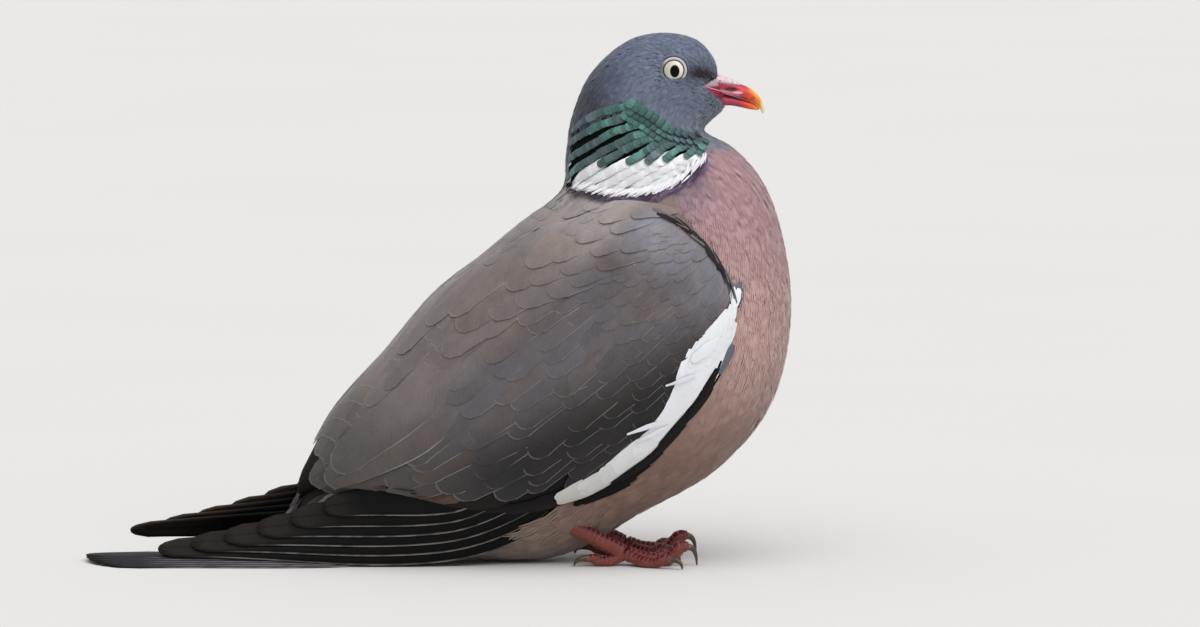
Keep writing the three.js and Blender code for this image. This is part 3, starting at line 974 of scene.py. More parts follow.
class Tree:
    """A material's node tree while it is being built."""

    def __init__(self, name: str) -> None:
        """Starts a material of this name with an empty tree."""
        self.material = bpy.data.materials.new(name)
        self.material.use_nodes = True
        self.tree = self.material.node_tree
        self.tree.nodes.clear()

    def add(self, kind: Op | str, *values: object, **named: object) -> bpy.types.Node:
        """Adds a node with its settings and links.

        Args:
            kind: what the node does, or its type without the words that all shader nodes share.
            values: what its inputs in use hold, in order: a value, or the output or the node that
                feeds it, a node by its first output in use.
            named: the same by the input's name, with spaces as underscores. A name in small letters
                is a setting of the node.

        Returns:
            The new node.
        """
        word, settings = kind.value if isinstance(kind, Op) else (kind, {})
        node = self.tree.nodes.new("ShaderNode" + word)
        own = {name: value for name, value in named.items() if name.islower()}
        for name, value in {**settings, **own}.items():
            setattr(node, name, value)
        inputs = list(zip([socket for socket in node.inputs if socket.enabled], values))
        inputs += [(node.inputs[name.replace("_", " ")], named[name]) for name in named if name not in own]
        for socket, value in inputs:
            if isinstance(value, bpy.types.Node):
                value = next(out for out in value.outputs if out.enabled)
            if isinstance(value, bpy.types.NodeSocket):
                self.tree.links.new(value, socket)
            else:
                socket.default_value = value
        return node

    def varied(self, value: object, pattern: object, amount: float) -> bpy.types.Node:
        """A value that a pattern from 0 to 1 moves up and down by an amount."""
        return self.add(Op.MULTIPLY_ADD, self.add(Op.SUBTRACT, pattern, 0.5), amount * 2, value)

    def layered(self, colour: object, *layers: tuple[object, str]) -> object:
        """A colour with others laid over it in turn, each given as its share and its hex code."""
        for share, code in layers:
            colour = self.add(Op.BLEND, share, colour, linear(code))
        return colour

    def far(self, x: object, z: object) -> bpy.types.Node:
        """How far from the middle a place is, given how far along and up it is."""
        squares = (self.add(Op.MULTIPLY, value, value) for value in (x, z))
        return self.add(Op.SQRT, self.add(Op.ADD, *squares))

    def flat(self, name: str) -> tuple[bpy.types.NodeSocket, bpy.types.NodeSocket]:
        """Where a place lies in one of the piece's UV maps."""
        place = self.add("SeparateXYZ", self.add("UVMap", uv_map=name))
        return place.outputs[0], place.outputs[1]

    def around(self, point: tuple[float, float, float]) -> tuple[bpy.types.NodeSocket, ...]:
        """The place on the piece counted from a point of the frame, in millimetres.

        Args:
            point: x, y and z in the bird's millimetres.

        Returns:
            Sockets for x, y and z.
        """
        centre = [-v / MM for v in STANCE.place(*point)]
        where = self.add("TexCoord").outputs["Object"]
        shifted = self.add("Mapping", where, centre, Scale=(1 / MM,) * 3)
        return tuple(self.add("SeparateXYZ", shifted).outputs)

    def barbs(self, slant: float, spacing: float) -> tuple[object, ...]:
        """The lines that a feather's barbs follow, slanting away from its shaft.

        Args:
            slant: how steeply they leave the shaft.
            spacing: millimetres from one to the next.

        Returns:
            Millimetres across, the same without its sign, the number of the barb, and the feather's
            chance number with a seed made of it.
        """
        across, along = self.flat("Vane")
        off = self.add(Op.ABSOLUTE, across)
        chance = self.add("Attribute", attribute_name="chance").outputs["Fac"]
        behind = self.add(Op.SUBTRACT, along, self.add(Op.MULTIPLY, off, slant))
        return across, off, self.add(Op.DIVIDE, behind, spacing), chance, self.add(Op.MULTIPLY, chance, 40.0)

    def plume(self, value: object) -> bpy.types.Node:
        """The colour painted on the piece, made lighter or darker."""
        painted = self.add("Attribute", attribute_name="plume").outputs["Color"]
        return self.add("HueSaturation", Value=value, Color=painted)

    def finish(self, bump: object = None, depth: float = 0.0, **inputs: object) -> Material:
        """Adds the shader and the output.

        Args:
            bump: a height pattern.
            depth: how deep the pattern is, in millimetres.
            inputs: the shader's inputs.

        Returns:
            The finished material.
        """
        if bump is not None:
            inputs["Normal"] = self.add("Bump", Height=bump, Strength=1.0, Distance=depth * MM)
        self.add("OutputMaterial", Surface=self.add("BsdfPrincipled", **inputs))
        return self.material


@dataclass(frozen=True)
class FeatherFinish:
    """Feather: dry keratin barbs, matt and soft, whose fine rows catch the light as streaks.

    Spots are about 6 mm across, 160 to the metre, and the rim is worn in patches of about 20 mm.

    barb is the spacing at which the barbs show; real ones are a few tenths of a millimetre apart,
    and here they are drawn a little coarser so that they show. slant is how steeply they leave the
    shaft. contrast, mottle and chance are how much the colour varies from barb to barb, in spots and
    from feather to feather. rim is how worn the edge is, rim_from where it starts, rim_colour what
    it wears to and tip_rim its share at the tip. shaft is how much the middle line darkens.
    """

    name: str
    barb: float = 0.5
    slant: float = 0.9
    contrast: float = 0.35
    mottle: float = 0.12
    chance: float = 0.12
    rim: float = 0.0
    rim_from: float = 0.88
    rim_colour: str = "B9B2AC"
    tip_rim: float = 0.4
    shaft: float = 0.0
    roughness: float = 0.72
    specular: float = 0.25
    sheen: float = 0.25
    metallic: float = 0.0
    relief: float = 0.08

    def material(self) -> Material:
        """Builds the finish.

        Returns:
            The material.
        """
        t = Tree(self.name)
        across, off, row, chance, seed = t.barbs(self.slant, self.barb)
        where = t.add("TexCoord").outputs["Object"]
        fine = t.add("CombineXYZ", row, t.add(Op.MULTIPLY, across, 0.25), seed)
        barbs = t.add("TexNoise", fine, 1.0, 1.0)
        value = t.varied(1.0, barbs, self.contrast)
        value = t.varied(value, t.add("TexNoise", where, 160.0, 3.0), self.mottle)
        value = t.varied(value, chance, self.chance)
        if self.shaft:
            line = t.add(Op.SUBTRACT, 1.0, t.add(Op.BAND, off, 0.12, 0.4))
            value = t.add(Op.MULTIPLY_ADD, line, -self.shaft, value)
        colour = t.plume(value)
        if self.rim:
            beside, along = t.flat("Rim")
            outer = t.add(Op.BAND, t.add(Op.MULTIPLY_ADD, beside, -2.0, 1.0), self.rim_from, 0.99)
            tip = t.add(Op.MULTIPLY, t.add(Op.BAND, along, 0.98, 0.998), self.tip_rim)
            patchy = t.add(Op.BAND, t.add("TexNoise", where, 45.0, 2.0), 0.32, 0.6)
            edge = t.add(Op.MULTIPLY, t.add(Op.MAXIMUM, outer, tip), patchy)
            colour = t.layered(colour, (t.add(Op.MULTIPLY, edge, self.rim), self.rim_colour))
        return t.finish(
            barbs, self.relief, Base_Color=colour, Roughness=self.roughness, Metallic=self.metallic,
            Specular_IOR_Level=self.specular, Sheen_Weight=self.sheen, Sheen_Roughness=0.5,
        )


@dataclass(frozen=True)
class SkinFinish:
    """Skin with its down: the coat's own colours, darker, matt and finely tufted.

    The tufts are about 1 mm across, 900 to the metre, and soften what shows between the feathers.
    """

    name: str = "downy_skin"
    shade: float = 0.75

    def material(self) -> Material:
        """Builds the finish.

        Returns:
            The material.
        """
        t = Tree(self.name)
        down = t.add("TexNoise", t.add("TexCoord").outputs["Object"], 900.0, 3.0)
        colour = t.plume(t.varied(self.shade, down, 0.25))
        return t.finish(down, 0.2, Base_Color=colour, Roughness=0.85, Specular_IOR_Level=0.2)


# ---------------------------------------------------------------- the skin


@dataclass(frozen=True)
class CoatDepth:
    """How deep the coat is along the body, in millimetres, at some slices."""

    slices: Sizes = (0, 1, 3, 5, 7, 8, 9, 11, 13, 15, 16, 17)
    depths: Sizes = (0.4, 0.7, 1.0, 1.3, 1.8, 2.2, 2.6, 2.8, 2.6, 2.0, 1.3, 0.8)

    def __call__(self, at: Points) -> Points:
        """The depth at some slices."""
        return np.interp(at, self.slices, self.depths)


DEPTH = CoatDepth()


@dataclass(frozen=True)
class Skin:
    """One closed skin over head, neck and trunk, as deep inside them as the coat is thick."""

    around: int = 150
    along: int = 330
    crowding: float = 1.15

    def at(self, v: Points) -> Points:
        """The slice number for a part of the way along, with more rows on the head."""
        return LAST_SLICE * v**self.crowding

    def build(self) -> Piece:
        """Makes the skin.

        Returns:
            The piece.
        """
        shape = wrapped_grid(
            self.around,
            self.along,
            lambda u, v: SURFACE.lifted(self.at(v), u, -DEPTH(self.at(v))),
        )
        for side in Side:
            bed = FoldedWing(side).bed()
            wrap = bed.verts.layers.float_vector["wrap"]
            for vert in bed.verts:
                vert[wrap] = (0, 0, 0)
            add_shape(shape, bed)
        piece = finished(shape, "skin", SkinFinish().material(), "body_feathers")
        self.paint(piece.data)
        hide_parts("head", "neck", "trunk", "wing_left", "wing_right")
        return piece

    def paint(self, mesh: bpy.types.Mesh) -> None:
        """Gives the skin the plumage's markings, with painted shade between the neck patch's ridges and at
        the wing bed's rear end.

        Args:
            mesh: the skin's mesh.
        """
        wrap = read_vectors(mesh, "wrap")
        turn = np.mod(np.arctan2(wrap[:, 1], wrap[:, 0]) / (2 * np.pi), 1)
        places = STANCE.millimetres(read_vectors(mesh, "position"))
        bare = Bill.gape(places)
        on_wing = np.hypot(wrap[:, 0], wrap[:, 1]) < 0.5
        bed = layered(WING_TONES(places), (WING_TONES.hidden, 1 - ease(places[:, 0], -111, -103)))
        plume = layered(
            PLUMAGE.colours(self.at(wrap[:, 2]), turn),
            (PLUMAGE.patch_ground, NeckPatch.ground(places)),
            (PLUMAGE.gape, bare),
            (CereFinish.PALE, bare * ease(places[:, 2], 176.2, 177.2)),
            (bed, on_wing),
        )
        paint(mesh, plume)


# ---------------------------------------------------------------- small feathers


@dataclass(frozen=True)
class ContourSizes:
    """How large the small feathers are along the body, in millimetres, at some slices."""

    slices: Sizes = (0, 1, 2, 3, 4, 5, 6, 7, 8, 9, 10, 12, 14, 15, 17)
    length: Sizes = (1.8, 2.3, 2.9, 3.6, 4.4, 5.4, 6.5, 7.5, 9, 10.5, 11.5, 12.5, 14, 15, 16)
    width: Sizes = (0.8, 0.95, 1.1, 1.25, 1.4, 1.6, 1.9, 2.2, 2.6, 3, 3.3, 3.8, 5, 6.5, 9)
    spacing: Sizes = (0.5, 0.55, 0.6, 0.68, 0.75, 0.85, 1, 1.15, 1.3, 1.45, 1.6, 1.8, 2.3, 2.8, 3.6)

    def read(self, sizes: Sizes, at: Points) -> Points:
        """One of the sizes at some slices."""
        return np.interp(at, self.slices, sizes)


SIZES = ContourSizes()


@dataclass(frozen=True)
class Tract:
    """A stretch of the body with small feathers of one kind, laid from the face towards the tail.

    Roots are tried CROWDED times as thickly as they end up. None grow WING_MARGIN of a turn inside
    the wing's cover, on the BACK (behind an x, within a part of a turn, up to a slice) or on the
    FLANK (over some heights at some x, up to one height), where the large feathers lie.
    """

    name: str
    slot: str
    first: float
    last: float
    vane: Vane
    finish: FeatherFinish
    seed: int
    lift: float = 0.15
    stray: float = 7.0
    camber: float = 0.04
    relief: float = 0.25

    CELLS_AROUND = 72
    CROWDED = 5
    WING_MARGIN = 0.012
    BACK = (-20, 0.13, 14.6)
    FLANK = ((-62, -35, -13), (7, 12, 23), 60)
    FLOOR = 0.15

    def roots(self, rng: np.random.Generator) -> tuple[Points, Points]:
        """Scatters the feathers' roots evenly over the stretch.

        Args:
            rng: the source of chance.

        Returns:
            at and turn for each root.
        """
        fine = np.linspace(self.first, self.last, 200)
        middle = (fine[1:] + fine[:-1]) / 2
        around = (np.arange(self.CELLS_AROUND) + 0.5) / self.CELLS_AROUND
        at, turn = (grid.ravel() for grid in np.meshgrid(middle, around, indexing="ij"))
        cell = LIE.areas(at, turn) * (fine[1] - fine[0]) / self.CELLS_AROUND
        weight = cell / SIZES.read(SIZES.spacing, at) ** 2
        tries = int(weight.sum() * self.CROWDED)
        picks = rng.choice(len(at), size=tries, p=weight / weight.sum())
        at = at[picks] + (rng.random(len(picks)) - 0.5) * (fine[1] - fine[0])
        turn = np.mod(turn[picks] + (rng.random(len(picks)) - 0.5) / self.CELLS_AROUND, 1)
        kept = self.wanted(at, turn)
        at, turn = at[kept], turn[kept]
        apart = SIZES.read(SIZES.spacing, at)
        chosen = spread_out(SURFACE.point(at, turn), apart)
        return at[chosen], turn[chosen]

    def wanted(self, at: Points, turn: Points) -> Points:
        """Which places carry small feathers: not under the wings, on the patches or on bare skin."""
        place = SURFACE.point(at, turn)
        x, z = place[:, 0], place[:, 2]
        behind, beside, ends = self.BACK
        on_back = (x < behind) & (from_back(turn) < beside) & (at < ends)
        covered = (SURFACE.under_wing(at, turn) > self.WING_MARGIN) | on_back
        stops, low, high = self.FLANK
        covered |= (x > stops[0]) & (x < stops[-1]) & (z < high) & (z > np.interp(x, stops, low))
        patch = NeckPatch.ground(place) > 0.6
        bare = Bill.gape(place) > 0.5
        for side in Side:
            bare |= np.linalg.norm(place - Eye(side).centre(), axis=-1) < Eye.BARE
        return ~(covered | patch | bare)

    def build(self) -> Piece:
        """Lays the feathers.

        Returns:
            The piece.
        """
        rng = np.random.default_rng(self.seed)
        at, turn = self.roots(rng)
        count = len(at)
        chance = rng.random(count)
        places = SURFACE.point(at, turn)
        grown = 1 + 0.12 * rng.standard_normal(count).clip(-2, 2)
        front = 1 + 0.2 * ease(np.abs(np.mod(turn + 0.5, 1) - 0.5), 0.25, 0.5)
        length = SIZES.read(SIZES.length, at) * grown * front * Eye.shorten(places)
        width = SIZES.read(SIZES.width, at) * (1 + 0.1 * rng.standard_normal(count).clip(-2, 2))
        pattern = self.vane.cut()
        across, along = pattern.laid_out(length, width, chance)
        stray = np.radians(self.stray) * rng.standard_normal(count)[:, None].clip(-2, 2)
        out = along * np.sin(stray) + across * np.cos(stray)
        down = along * np.cos(stray) - across * np.sin(stray)
        there, around = LIE.moved(at[:, None], turn[:, None], down, out)
        depth = DEPTH(at)[:, None]
        rise = (depth + self.lift * (0.4 + rng.random((count, 1)))) * pattern.along**0.3 - depth
        rise = rise + self.lift * 0.3 - self.camber * width[:, None] * pattern.edge**2
        _, aside, normal = SURFACE.slopes(there, around)
        points = SURFACE.point(there, around) + normal * rise[..., None]
        points[..., 2] = np.maximum(points[..., 2], self.FLOOR)
        tilt = self.relief * (pattern.edge + 0.4 * rng.standard_normal((count, 1)))
        normals = unit(normal + unit(aside) * tilt[..., None])
        plume = PLUMAGE.colours(at, turn)[:, None, :] * np.ones((1, len(pattern.along), 1))
        root = np.stack([np.mod(turn, 1), at / LAST_SLICE], -1)
        coat = FeatherMesh()
        coat.add(Batch(pattern, points, normals, (across, along), root, plume, chance))
        return coat.build(self.name, self.finish.material(), self.slot)


def spread_out(places: Points, apart: Points) -> Points:
    """Keeps places that are far enough from those kept before them.

    Args:
        places: points in millimetres.
        apart: the least distance that each keeps.

    Returns:
        The numbers of the places that are kept.
    """
    cell = float(apart.max())
    keys = np.floor(places / cell).astype(int)
    taken: dict[tuple[int, int, int], list[int]] = {}
    kept: list[int] = []
    near = [(i, j, k) for i in (-1, 0, 1) for j in (-1, 0, 1) for k in (-1, 0, 1)]
    rows, gaps = places.tolist(), apart.tolist()
    for number, (a, b, c) in enumerate(keys.tolist()):
        x, y, z = rows[number]
        least = gaps[number] ** 2
        others = (rows[n] for i, j, k in near for n in taken.get((a + i, b + j, c + k), ()))
        if all((p - x) ** 2 + (q - y) ** 2 + (r - z) ** 2 >= least for p, q, r in others):
            taken.setdefault((a, b, c), []).append(number)
            kept.append(number)
    return np.array(kept)


# ---------------------------------------------------------------- large feathers


@dataclass(frozen=True)
class Lay:
    """How a large feather lies: its tip's height over the bed, its root's, how it is tilted and
    cambered, and how far its vane catches the light as a rounded one."""

    tip: float = 0.65
    root: float = 0.1
    roll: float = 0.25
    camber: float = 0.02
    rounded: float = 0.12


@dataclass(frozen=True)
class Line:
    """The middle line that a large feather follows: points, ways along and normals at even steps."""

    places: Points
    ways: Points
    normals: Points

    def read(self, along: Points, length: float) -> tuple[Points, Points, Points]:
        """Points, ways and normals at some millimetres along.

        Args:
            along: millimetres from the root.
            length: the line's length.

        Returns:
            The points, the ways along and the normals there.
        """
        stops = np.linspace(0, length, len(self.places))
        tables = (self.places, self.ways, self.normals)
        base, way, normal = (read_rows(along, stops, rows) for rows in tables)
        return base, unit(way), unit(normal)


@dataclass(frozen=True)
class Kind:
    """A kind of large feather: its pattern's vane, its size, how it lies and its own colour.

    Without a colour of its own, a feather takes the wing's colour at its place.
    """

    vane: Vane
    length: float
    width: float
    lay: Lay
    colour: str | None = None


class Draping:
    """Lays large feathers one by one on a hull, and collects them in one mesh.

    A feather's line goes over the hull in steps of STEP millimetres. It keeps to the hull where that
    is within NEAR of a step and turns by a cosine over TURN, and takes BEND of its normal each time.
    The vane lies down on the hull where that is nearly LEVEL, or is within SNUG and faces the same
    way by a cosine over ALIKE. FLOOR is the least height, and UNEVEN how much widths differ.
    """

    STEP = 1.5
    NEAR = 0.5
    TURN = 0.55
    BEND = 0.6
    LEVEL = 0.45
    SNUG = (0.3, 0.1)
    ALIKE = 0.6
    FLOOR = 0.6
    UNEVEN = 0.06

    def __init__(self, hull: Hull, side: Side, seed: int) -> None:
        """Starts empty.

        Args:
            hull: what the feathers lie on.
            side: which side of the bird is being dressed.
            seed: the chance that makes the feathers uneven.
        """
        self.hull = hull
        self.side = side
        self.rng = np.random.default_rng(seed)
        self.mesh = FeatherMesh()
        self.patterns: dict[Vane, Pattern] = {}

    def line(self, root: Vector, aim: Vector, length: float) -> Line:
        """Walks over the hull from a root.

        Args:
            root: where to start.
            aim: the way to go, which is bent to the hull at each step.
            length: how far.

        Returns:
            The line.
        """
        place, normal, _, _ = self.hull.tree.find_nearest(root)
        count = max(int(length / self.STEP), 3)
        step = length / count
        places, ways, normals = [place], [], [normal]
        for _ in range(count):
            way = (aim - normal * aim.dot(normal)).normalized()
            ways.append(way)
            ahead = place + way * step
            near, facing, _, off = self.hull.tree.find_nearest(ahead)
            if off < self.NEAR * step and facing.dot(normal) > self.TURN:
                place = near
                normal = (normal * (1 - self.BEND) + facing * self.BEND).normalized()
            else:
                place = ahead
            places.append(place)
            normals.append(normal)
        ways.append(ways[-1])
        return Line(*(np.array([list(v) for v in rows]) for rows in (places, ways, normals)))

    def lay(self, kind: Kind, tip: Pair, heading: float, grown: float = 1.0) -> None:
        """Lays one feather so that its tip comes to a place in the side view.

        Args:
            kind: its kind.
            tip: x and z of its tip.
            heading: its way from root to tip there, in degrees from +X by +Z.
            grown: how much larger it is than its kind.
        """
        heading += 2.5 * self.rng.standard_normal()
        aim = Vector((math.cos(math.radians(heading)), 0, math.sin(math.radians(heading))))
        length = kind.length * grown
        root = self.hull.beside(tip[0] - aim.x * length, tip[1] - aim.z * length, self.side)
        self.put(kind, self.line(root, aim, length), grown)

    def put(self, kind: Kind, line: Line, grown: float = 1.0) -> None:
        """Adds one feather along a line.

        Args:
            kind: its kind.
            line: its middle line.
            grown: how much larger it is than its kind.
        """
        pattern = self.patterns.setdefault(kind.vane, kind.vane.cut())
        chance = self.rng.random()
        length = kind.length * grown
        width = kind.width * (1 + self.UNEVEN * self.rng.standard_normal())
        across, along = pattern.single(length, width, chance)
        base, way, normal = line.read(along, length)
        aside = unit(np.cross(normal, way)) * self.side.value
        points = base + aside * across[:, None]
        facing = normal.copy()
        for i, point in enumerate(points):
            near, out, _, off = self.hull.tree.find_nearest(Vector(point))
            snug = off < self.SNUG[0] * abs(across[i]) + self.SNUG[1]
            if out.z > self.LEVEL or (snug and out.dot(Vector(normal[i])) > self.ALIKE):
                points[i] = near
                facing[i] = out
        v, edge, lay = pattern.along, pattern.edge, kind.lay
        height = lay.root + (lay.tip - lay.root) * v**0.75 - lay.roll * edge * v
        height = height - lay.camber * width * edge**2
        points = points + normal * height[:, None]
        points[:, 2] = np.maximum(points[:, 2], self.FLOOR)
        turned = edge * lay.rounded + 0.05 * self.rng.standard_normal()
        lengthwise = lay.rounded * (v - 0.6)
        shade = unit(facing + normal + 2 * aside * turned[:, None] + 2 * way * lengthwise[:, None])
        if kind.colour is None:
            colour = WING_TONES(points) * np.array(WING_TONES.worn) ** self.rng.random() ** 2
        else:
            colour = np.tile(tone(kind.colour), (len(v), 1))
        self.mesh.add_one(pattern, (across, along), chance, points, shade, base[0], colour)

    def build(self, name: str, finish: FeatherFinish, slot: str) -> None:
        """Makes a piece of the feathers laid since the last one, named for the side too."""
        self.mesh.build(f"{name}_{self.side.word}", finish.material(), slot)
        self.mesh = FeatherMesh()


# ---------------------------------------------------------------- wings


LARGE_VANE = Vane(columns=6, rows=9, root=0.35, widest=0.4, taper=0.3, round_tip=1.5)
COVERT_VANE = Vane(columns=4, rows=7, root=0.4, widest=0.45, taper=0.25, round_tip=1.4)
WISP_VANE = Vane(columns=2, rows=6, root=0.7, widest=0.3, taper=0.7, round_tip=2.0)


@dataclass(frozen=True)
class Row:
    """One row of coverts, from the back to the wing's edge: where its tips lie and how it is made."""

    tips: tuple[Pair, ...]
    headings: Pair
    kind: Kind
    packing: float = 0.62


@dataclass(frozen=True)
class FoldedWing:
    """One folded wing: a bed in the arm's place, and large feathers laid over it in rows.

    edge and middle are its thickness at the rim and in the middle, sunk how far the bed lies below
    its outline and GAP how far it stays off the body, in millimetres. A feather of the back that
    would stand OFF_HULL or more away is left out. The wing lies between the slices OPENS_AT and
    CLOSES_AT, and rounds off over opens and closes of a slice. COVERTS and SCAPULARS
    give each row's tips, headings where they differ, lengths and widths, and SINGLE the feathers
    that are laid one by one.
    """

    side: Side
    edge: float = 1.4
    middle: float = 6.6
    opens: float = 1.1
    closes: float = 1.3
    sunk: float = 1.2

    OPENS_AT = 8.3
    CLOSES_AT = 15.45
    GAP = 0.35
    OFF_HULL = 0.4
    WHITES = ("ECEDF1", "E7E8EA", "E0E1E2", "D9DAD9", "D2D1CE", "CAC8C4")
    # painted shadow: dark feathers where the breast laps the wing's front
    FRONT = ("2B2627", "6B6364", "1E1A1B")
    WISP = Kind(WISP_VANE, 12, 2.0, Lay(tip=1.9, root=1.6), "E4E5EA")
    BROWN = Kind(LARGE_VANE, 26, 8, Lay(tip=0.7, root=0.1, roll=0.3))
    # black primary coverts in the hollow under the wing; their near black is partly painted shade
    BLACK = Kind(COVERT_VANE, 28, 9, Lay(tip=0.8, root=0.3, roll=0.2), "141111")
    SINGLE = (
        (WISP, (18.4, 70.6), 192),
        (WISP, (4.8, 52.2), 196),
        (WISP, (8.9, 49.6), 199),
        (Kind(COVERT_VANE, 13, 5.5, Lay(tip=1.7, root=1.2), "E4E5EA"), (27.3, 79.3), 214),
        (Kind(COVERT_VANE, 12, 3.8, Lay(tip=1.8, root=1.3), "666973"), (37.7, 73.3), 240),
        (replace(BROWN, colour="54413A"), (-88, 22), 194),
        (replace(BROWN, colour="4B3A34"), (-80, 20.6), 194),
        (replace(BROWN, colour="5A463E"), (-71, 20), 194),
        (replace(BROWN, colour="211C1B"), (-61, 20), 194),
        (BLACK, (-61, 13), 199),
        (BLACK, (-53, 12.5), 201),
        (BLACK, (-45, 13.5), 203),
        (BLACK, (-37.5, 16), 206),
        (BLACK, (-30, 19.5), 208),
    )
    COVERTS = (
        (((-113, 46), (-114, 35), (-110, 27), (-101, 21)), (222, 207), 66, 17),
        (((-100, 58), (-99, 46), (-94, 33), (-83, 20)), (221, 209), 60, 16),
        (((-84, 70), (-80, 48), (-72, 33), (-57, 20)), (220, 214), 58, 15),
        (((-66, 80), (-60, 58), (-54, 40), (-40, 21)), (220, 222), 52, 14),
        (((-50, 90), (-42, 68), (-35, 46), (-26, 21.5)), (220, 226), 46, 12.5),
        (((-34, 96), (-24, 75), (-17, 53), (-13, 24)), (220, 230), 40, 11.5),
        (((-22, 99), (-10, 80), (-2, 60), (-2, 30)), (220, 232), 34, 10),
        (((-13, 104), (1, 85), (9, 66), (8, 41)), (220, 234), 28, 9),
        (((-7, 109), (7, 90), (18, 71), (20, 55)), (219, 236), 24, 8.2),
        (((-2, 113), (12, 95), (24, 78), (28, 65)), (218, 237), 20, 7.6),
        (((3, 118), (18, 101), (30, 85), (34, 74)), (217, 239), 17, 7),
        (((8, 122), (23, 106), (34, 92), (39, 82)), (216, 240), 15, 6.6),
        (((9, 123), (26, 111.5), (37.5, 99), (42, 91)), (215, 242), 12, 6.2),
        (((11, 124), (28, 114), (38.5, 103), (43.5, 96)), (214, 244), 9.5, 6),
        (((13, 125), (29, 116.5), (39, 106), (44.5, 100)), (213, 246), 7.5, 5.8),
    )
    SCAPULARS = (
        (((-97, 62.5), (-96, 60)), 11, 44),
        (((-88, 70.5), (-86, 67)), 12, 44),
        (((-79, 78.5), (-76, 74)), 13, 44),
        (((-70, 87), (-66, 81)), 14, 43),
        (((-61, 97), (-57.4, 89)), 15, 42),
        (((-52, 107), (-46, 94.5)), 15, 40),
        (((-43, 114), (-35, 97)), 14.5, 36),
        (((-34, 120), (-24, 101)), 13.5, 31),
        (((-26, 126), (-14, 105)), 12, 26),
        (((-17, 131), (-4, 111)), 10.5, 22),
        (((-9, 134), (4, 117)), 9, 19),
        (((-2, 134), (9, 123.5)), 8, 16),
        (((4, 134), (14, 127.5)), 7.5, 14),
    )

    def outer(self, at: Points, share: Points, sink: float = 0.0) -> Points:
        """The wing's outer surface.

        Args:
            at: slice numbers.
            share: parts of the way from the back edge to the belly edge.
            sink: how far below the surface, in millimetres.

        Returns:
            Points in millimetres.
        """
        at, share = np.broadcast_arrays(np.asarray(at, float), np.asarray(share, float))
        band = SURFACE.band(at - SURFACE.first_winged)
        ends = (at - self.OPENS_AT) / self.opens, (self.CLOSES_AT - at) / self.closes
        opened = np.clip(np.minimum(*ends), 0, 1)
        open_round = np.sqrt(np.maximum(1 - (1 - opened) ** 2, 0.006))
        front = at < SURFACE.first_winged + self.opens
        centre = np.where(front, band.mean(-1), band[..., 0] + 0.02)
        top = centre + (band[..., 0] - centre) * open_round
        low = centre + (band[..., 1] - centre) * open_round
        swell = np.sin(np.pi * np.clip(share, 0, 1)) ** 0.7
        rim = self.edge * np.clip(open_round * 1.5, 0.5, 1)
        lift = self.GAP + rim + (self.middle - self.edge) * swell * open_round - sink
        points = SURFACE.lifted(at, top + (low - top) * share, lift)
        points[..., 1] *= -self.side.value
        return points

    def bed(self) -> Shape:
        """The closed bed that the feathers lie on, sunk below the wing's outline.

        Returns:
            The mesh.
        """

        def place(u: Points, v: Points) -> Points:
            """The bed's points at some parts of the way round and along."""
            at = self.OPENS_AT + 0.04 + (self.CLOSES_AT - self.OPENS_AT - 0.08) * v
            share = 0.5 - 0.5 * np.cos(np.pi * np.minimum(2 * u, 2 - 2 * u))
            face, low = (self.arm(at, share, deeper) for deeper in (0.45, 2.2))
            return np.where((u < 0.5)[:, None], face, low)

        return wrapped_grid(64, 110, place)

    def arm(self, at: Points, share: Points, deeper: float = 0.0) -> Points:
        """The folded arm's outer side, whose rims run down to the body, or some millimetres deeper."""
        inner = ease(np.minimum(share, 1 - share), 0, 0.09) * ease(at, self.OPENS_AT, self.OPENS_AT + 0.25)
        return self.outer(at, share, self.sunk + deeper + 1.7 * (1 - inner))

    def hull(self) -> Hull:
        """What the wing's feathers are laid on: the body, and the bed with its rims run down to it.

        Returns:
            The hull.
        """
        at = np.linspace(7.9, LAST_SLICE, 170)
        body = SURFACE.sheet(at, 121, -0.4)
        inside = np.linspace(self.OPENS_AT + 0.02, self.CLOSES_AT - 0.02, 150)[:, None]
        arm = self.arm(inside, np.linspace(0, 1, 50)[None, :])
        return Hull((body, arm if self.side is Side.RIGHT else arm[:, ::-1]))

    def dress(self) -> None:
        """Lays the wing's feathers: coverts, tertials, the white edge and the scapulars."""
        draping = Draping(self.hull(), self.side, 31 + self.side.value)
        for row in self.rows():
            self.lay_row(draping, row)
        worn = {"contrast": 0.18, "chance": 0.1, "rim_from": 0.93}
        finish = FeatherFinish("covert_vanes", mottle=0.22, rim=0.5, shaft=0.08, **worn)
        draping.build("coverts", finish, "wing_feathers")
        self.lay_edge(draping)
        self.lay_front(draping)
        dry = {"roughness": 0.8, "specular": 0.12, "sheen": 0.05}
        finish = FeatherFinish("white_edge_vanes", contrast=0.05, mottle=0.04, chance=0.02, **dry)
        draping.build("white_edge", finish, "wing_feathers")
        self.lay_dorsal(draping)
        for row in self.scapulars():
            self.lay_row(draping, row)
        finish = FeatherFinish("scapular_vanes", mottle=0.24, rim=0.45, shaft=0.07, **worn)
        draping.build("scapulars", finish, "wing_feathers")

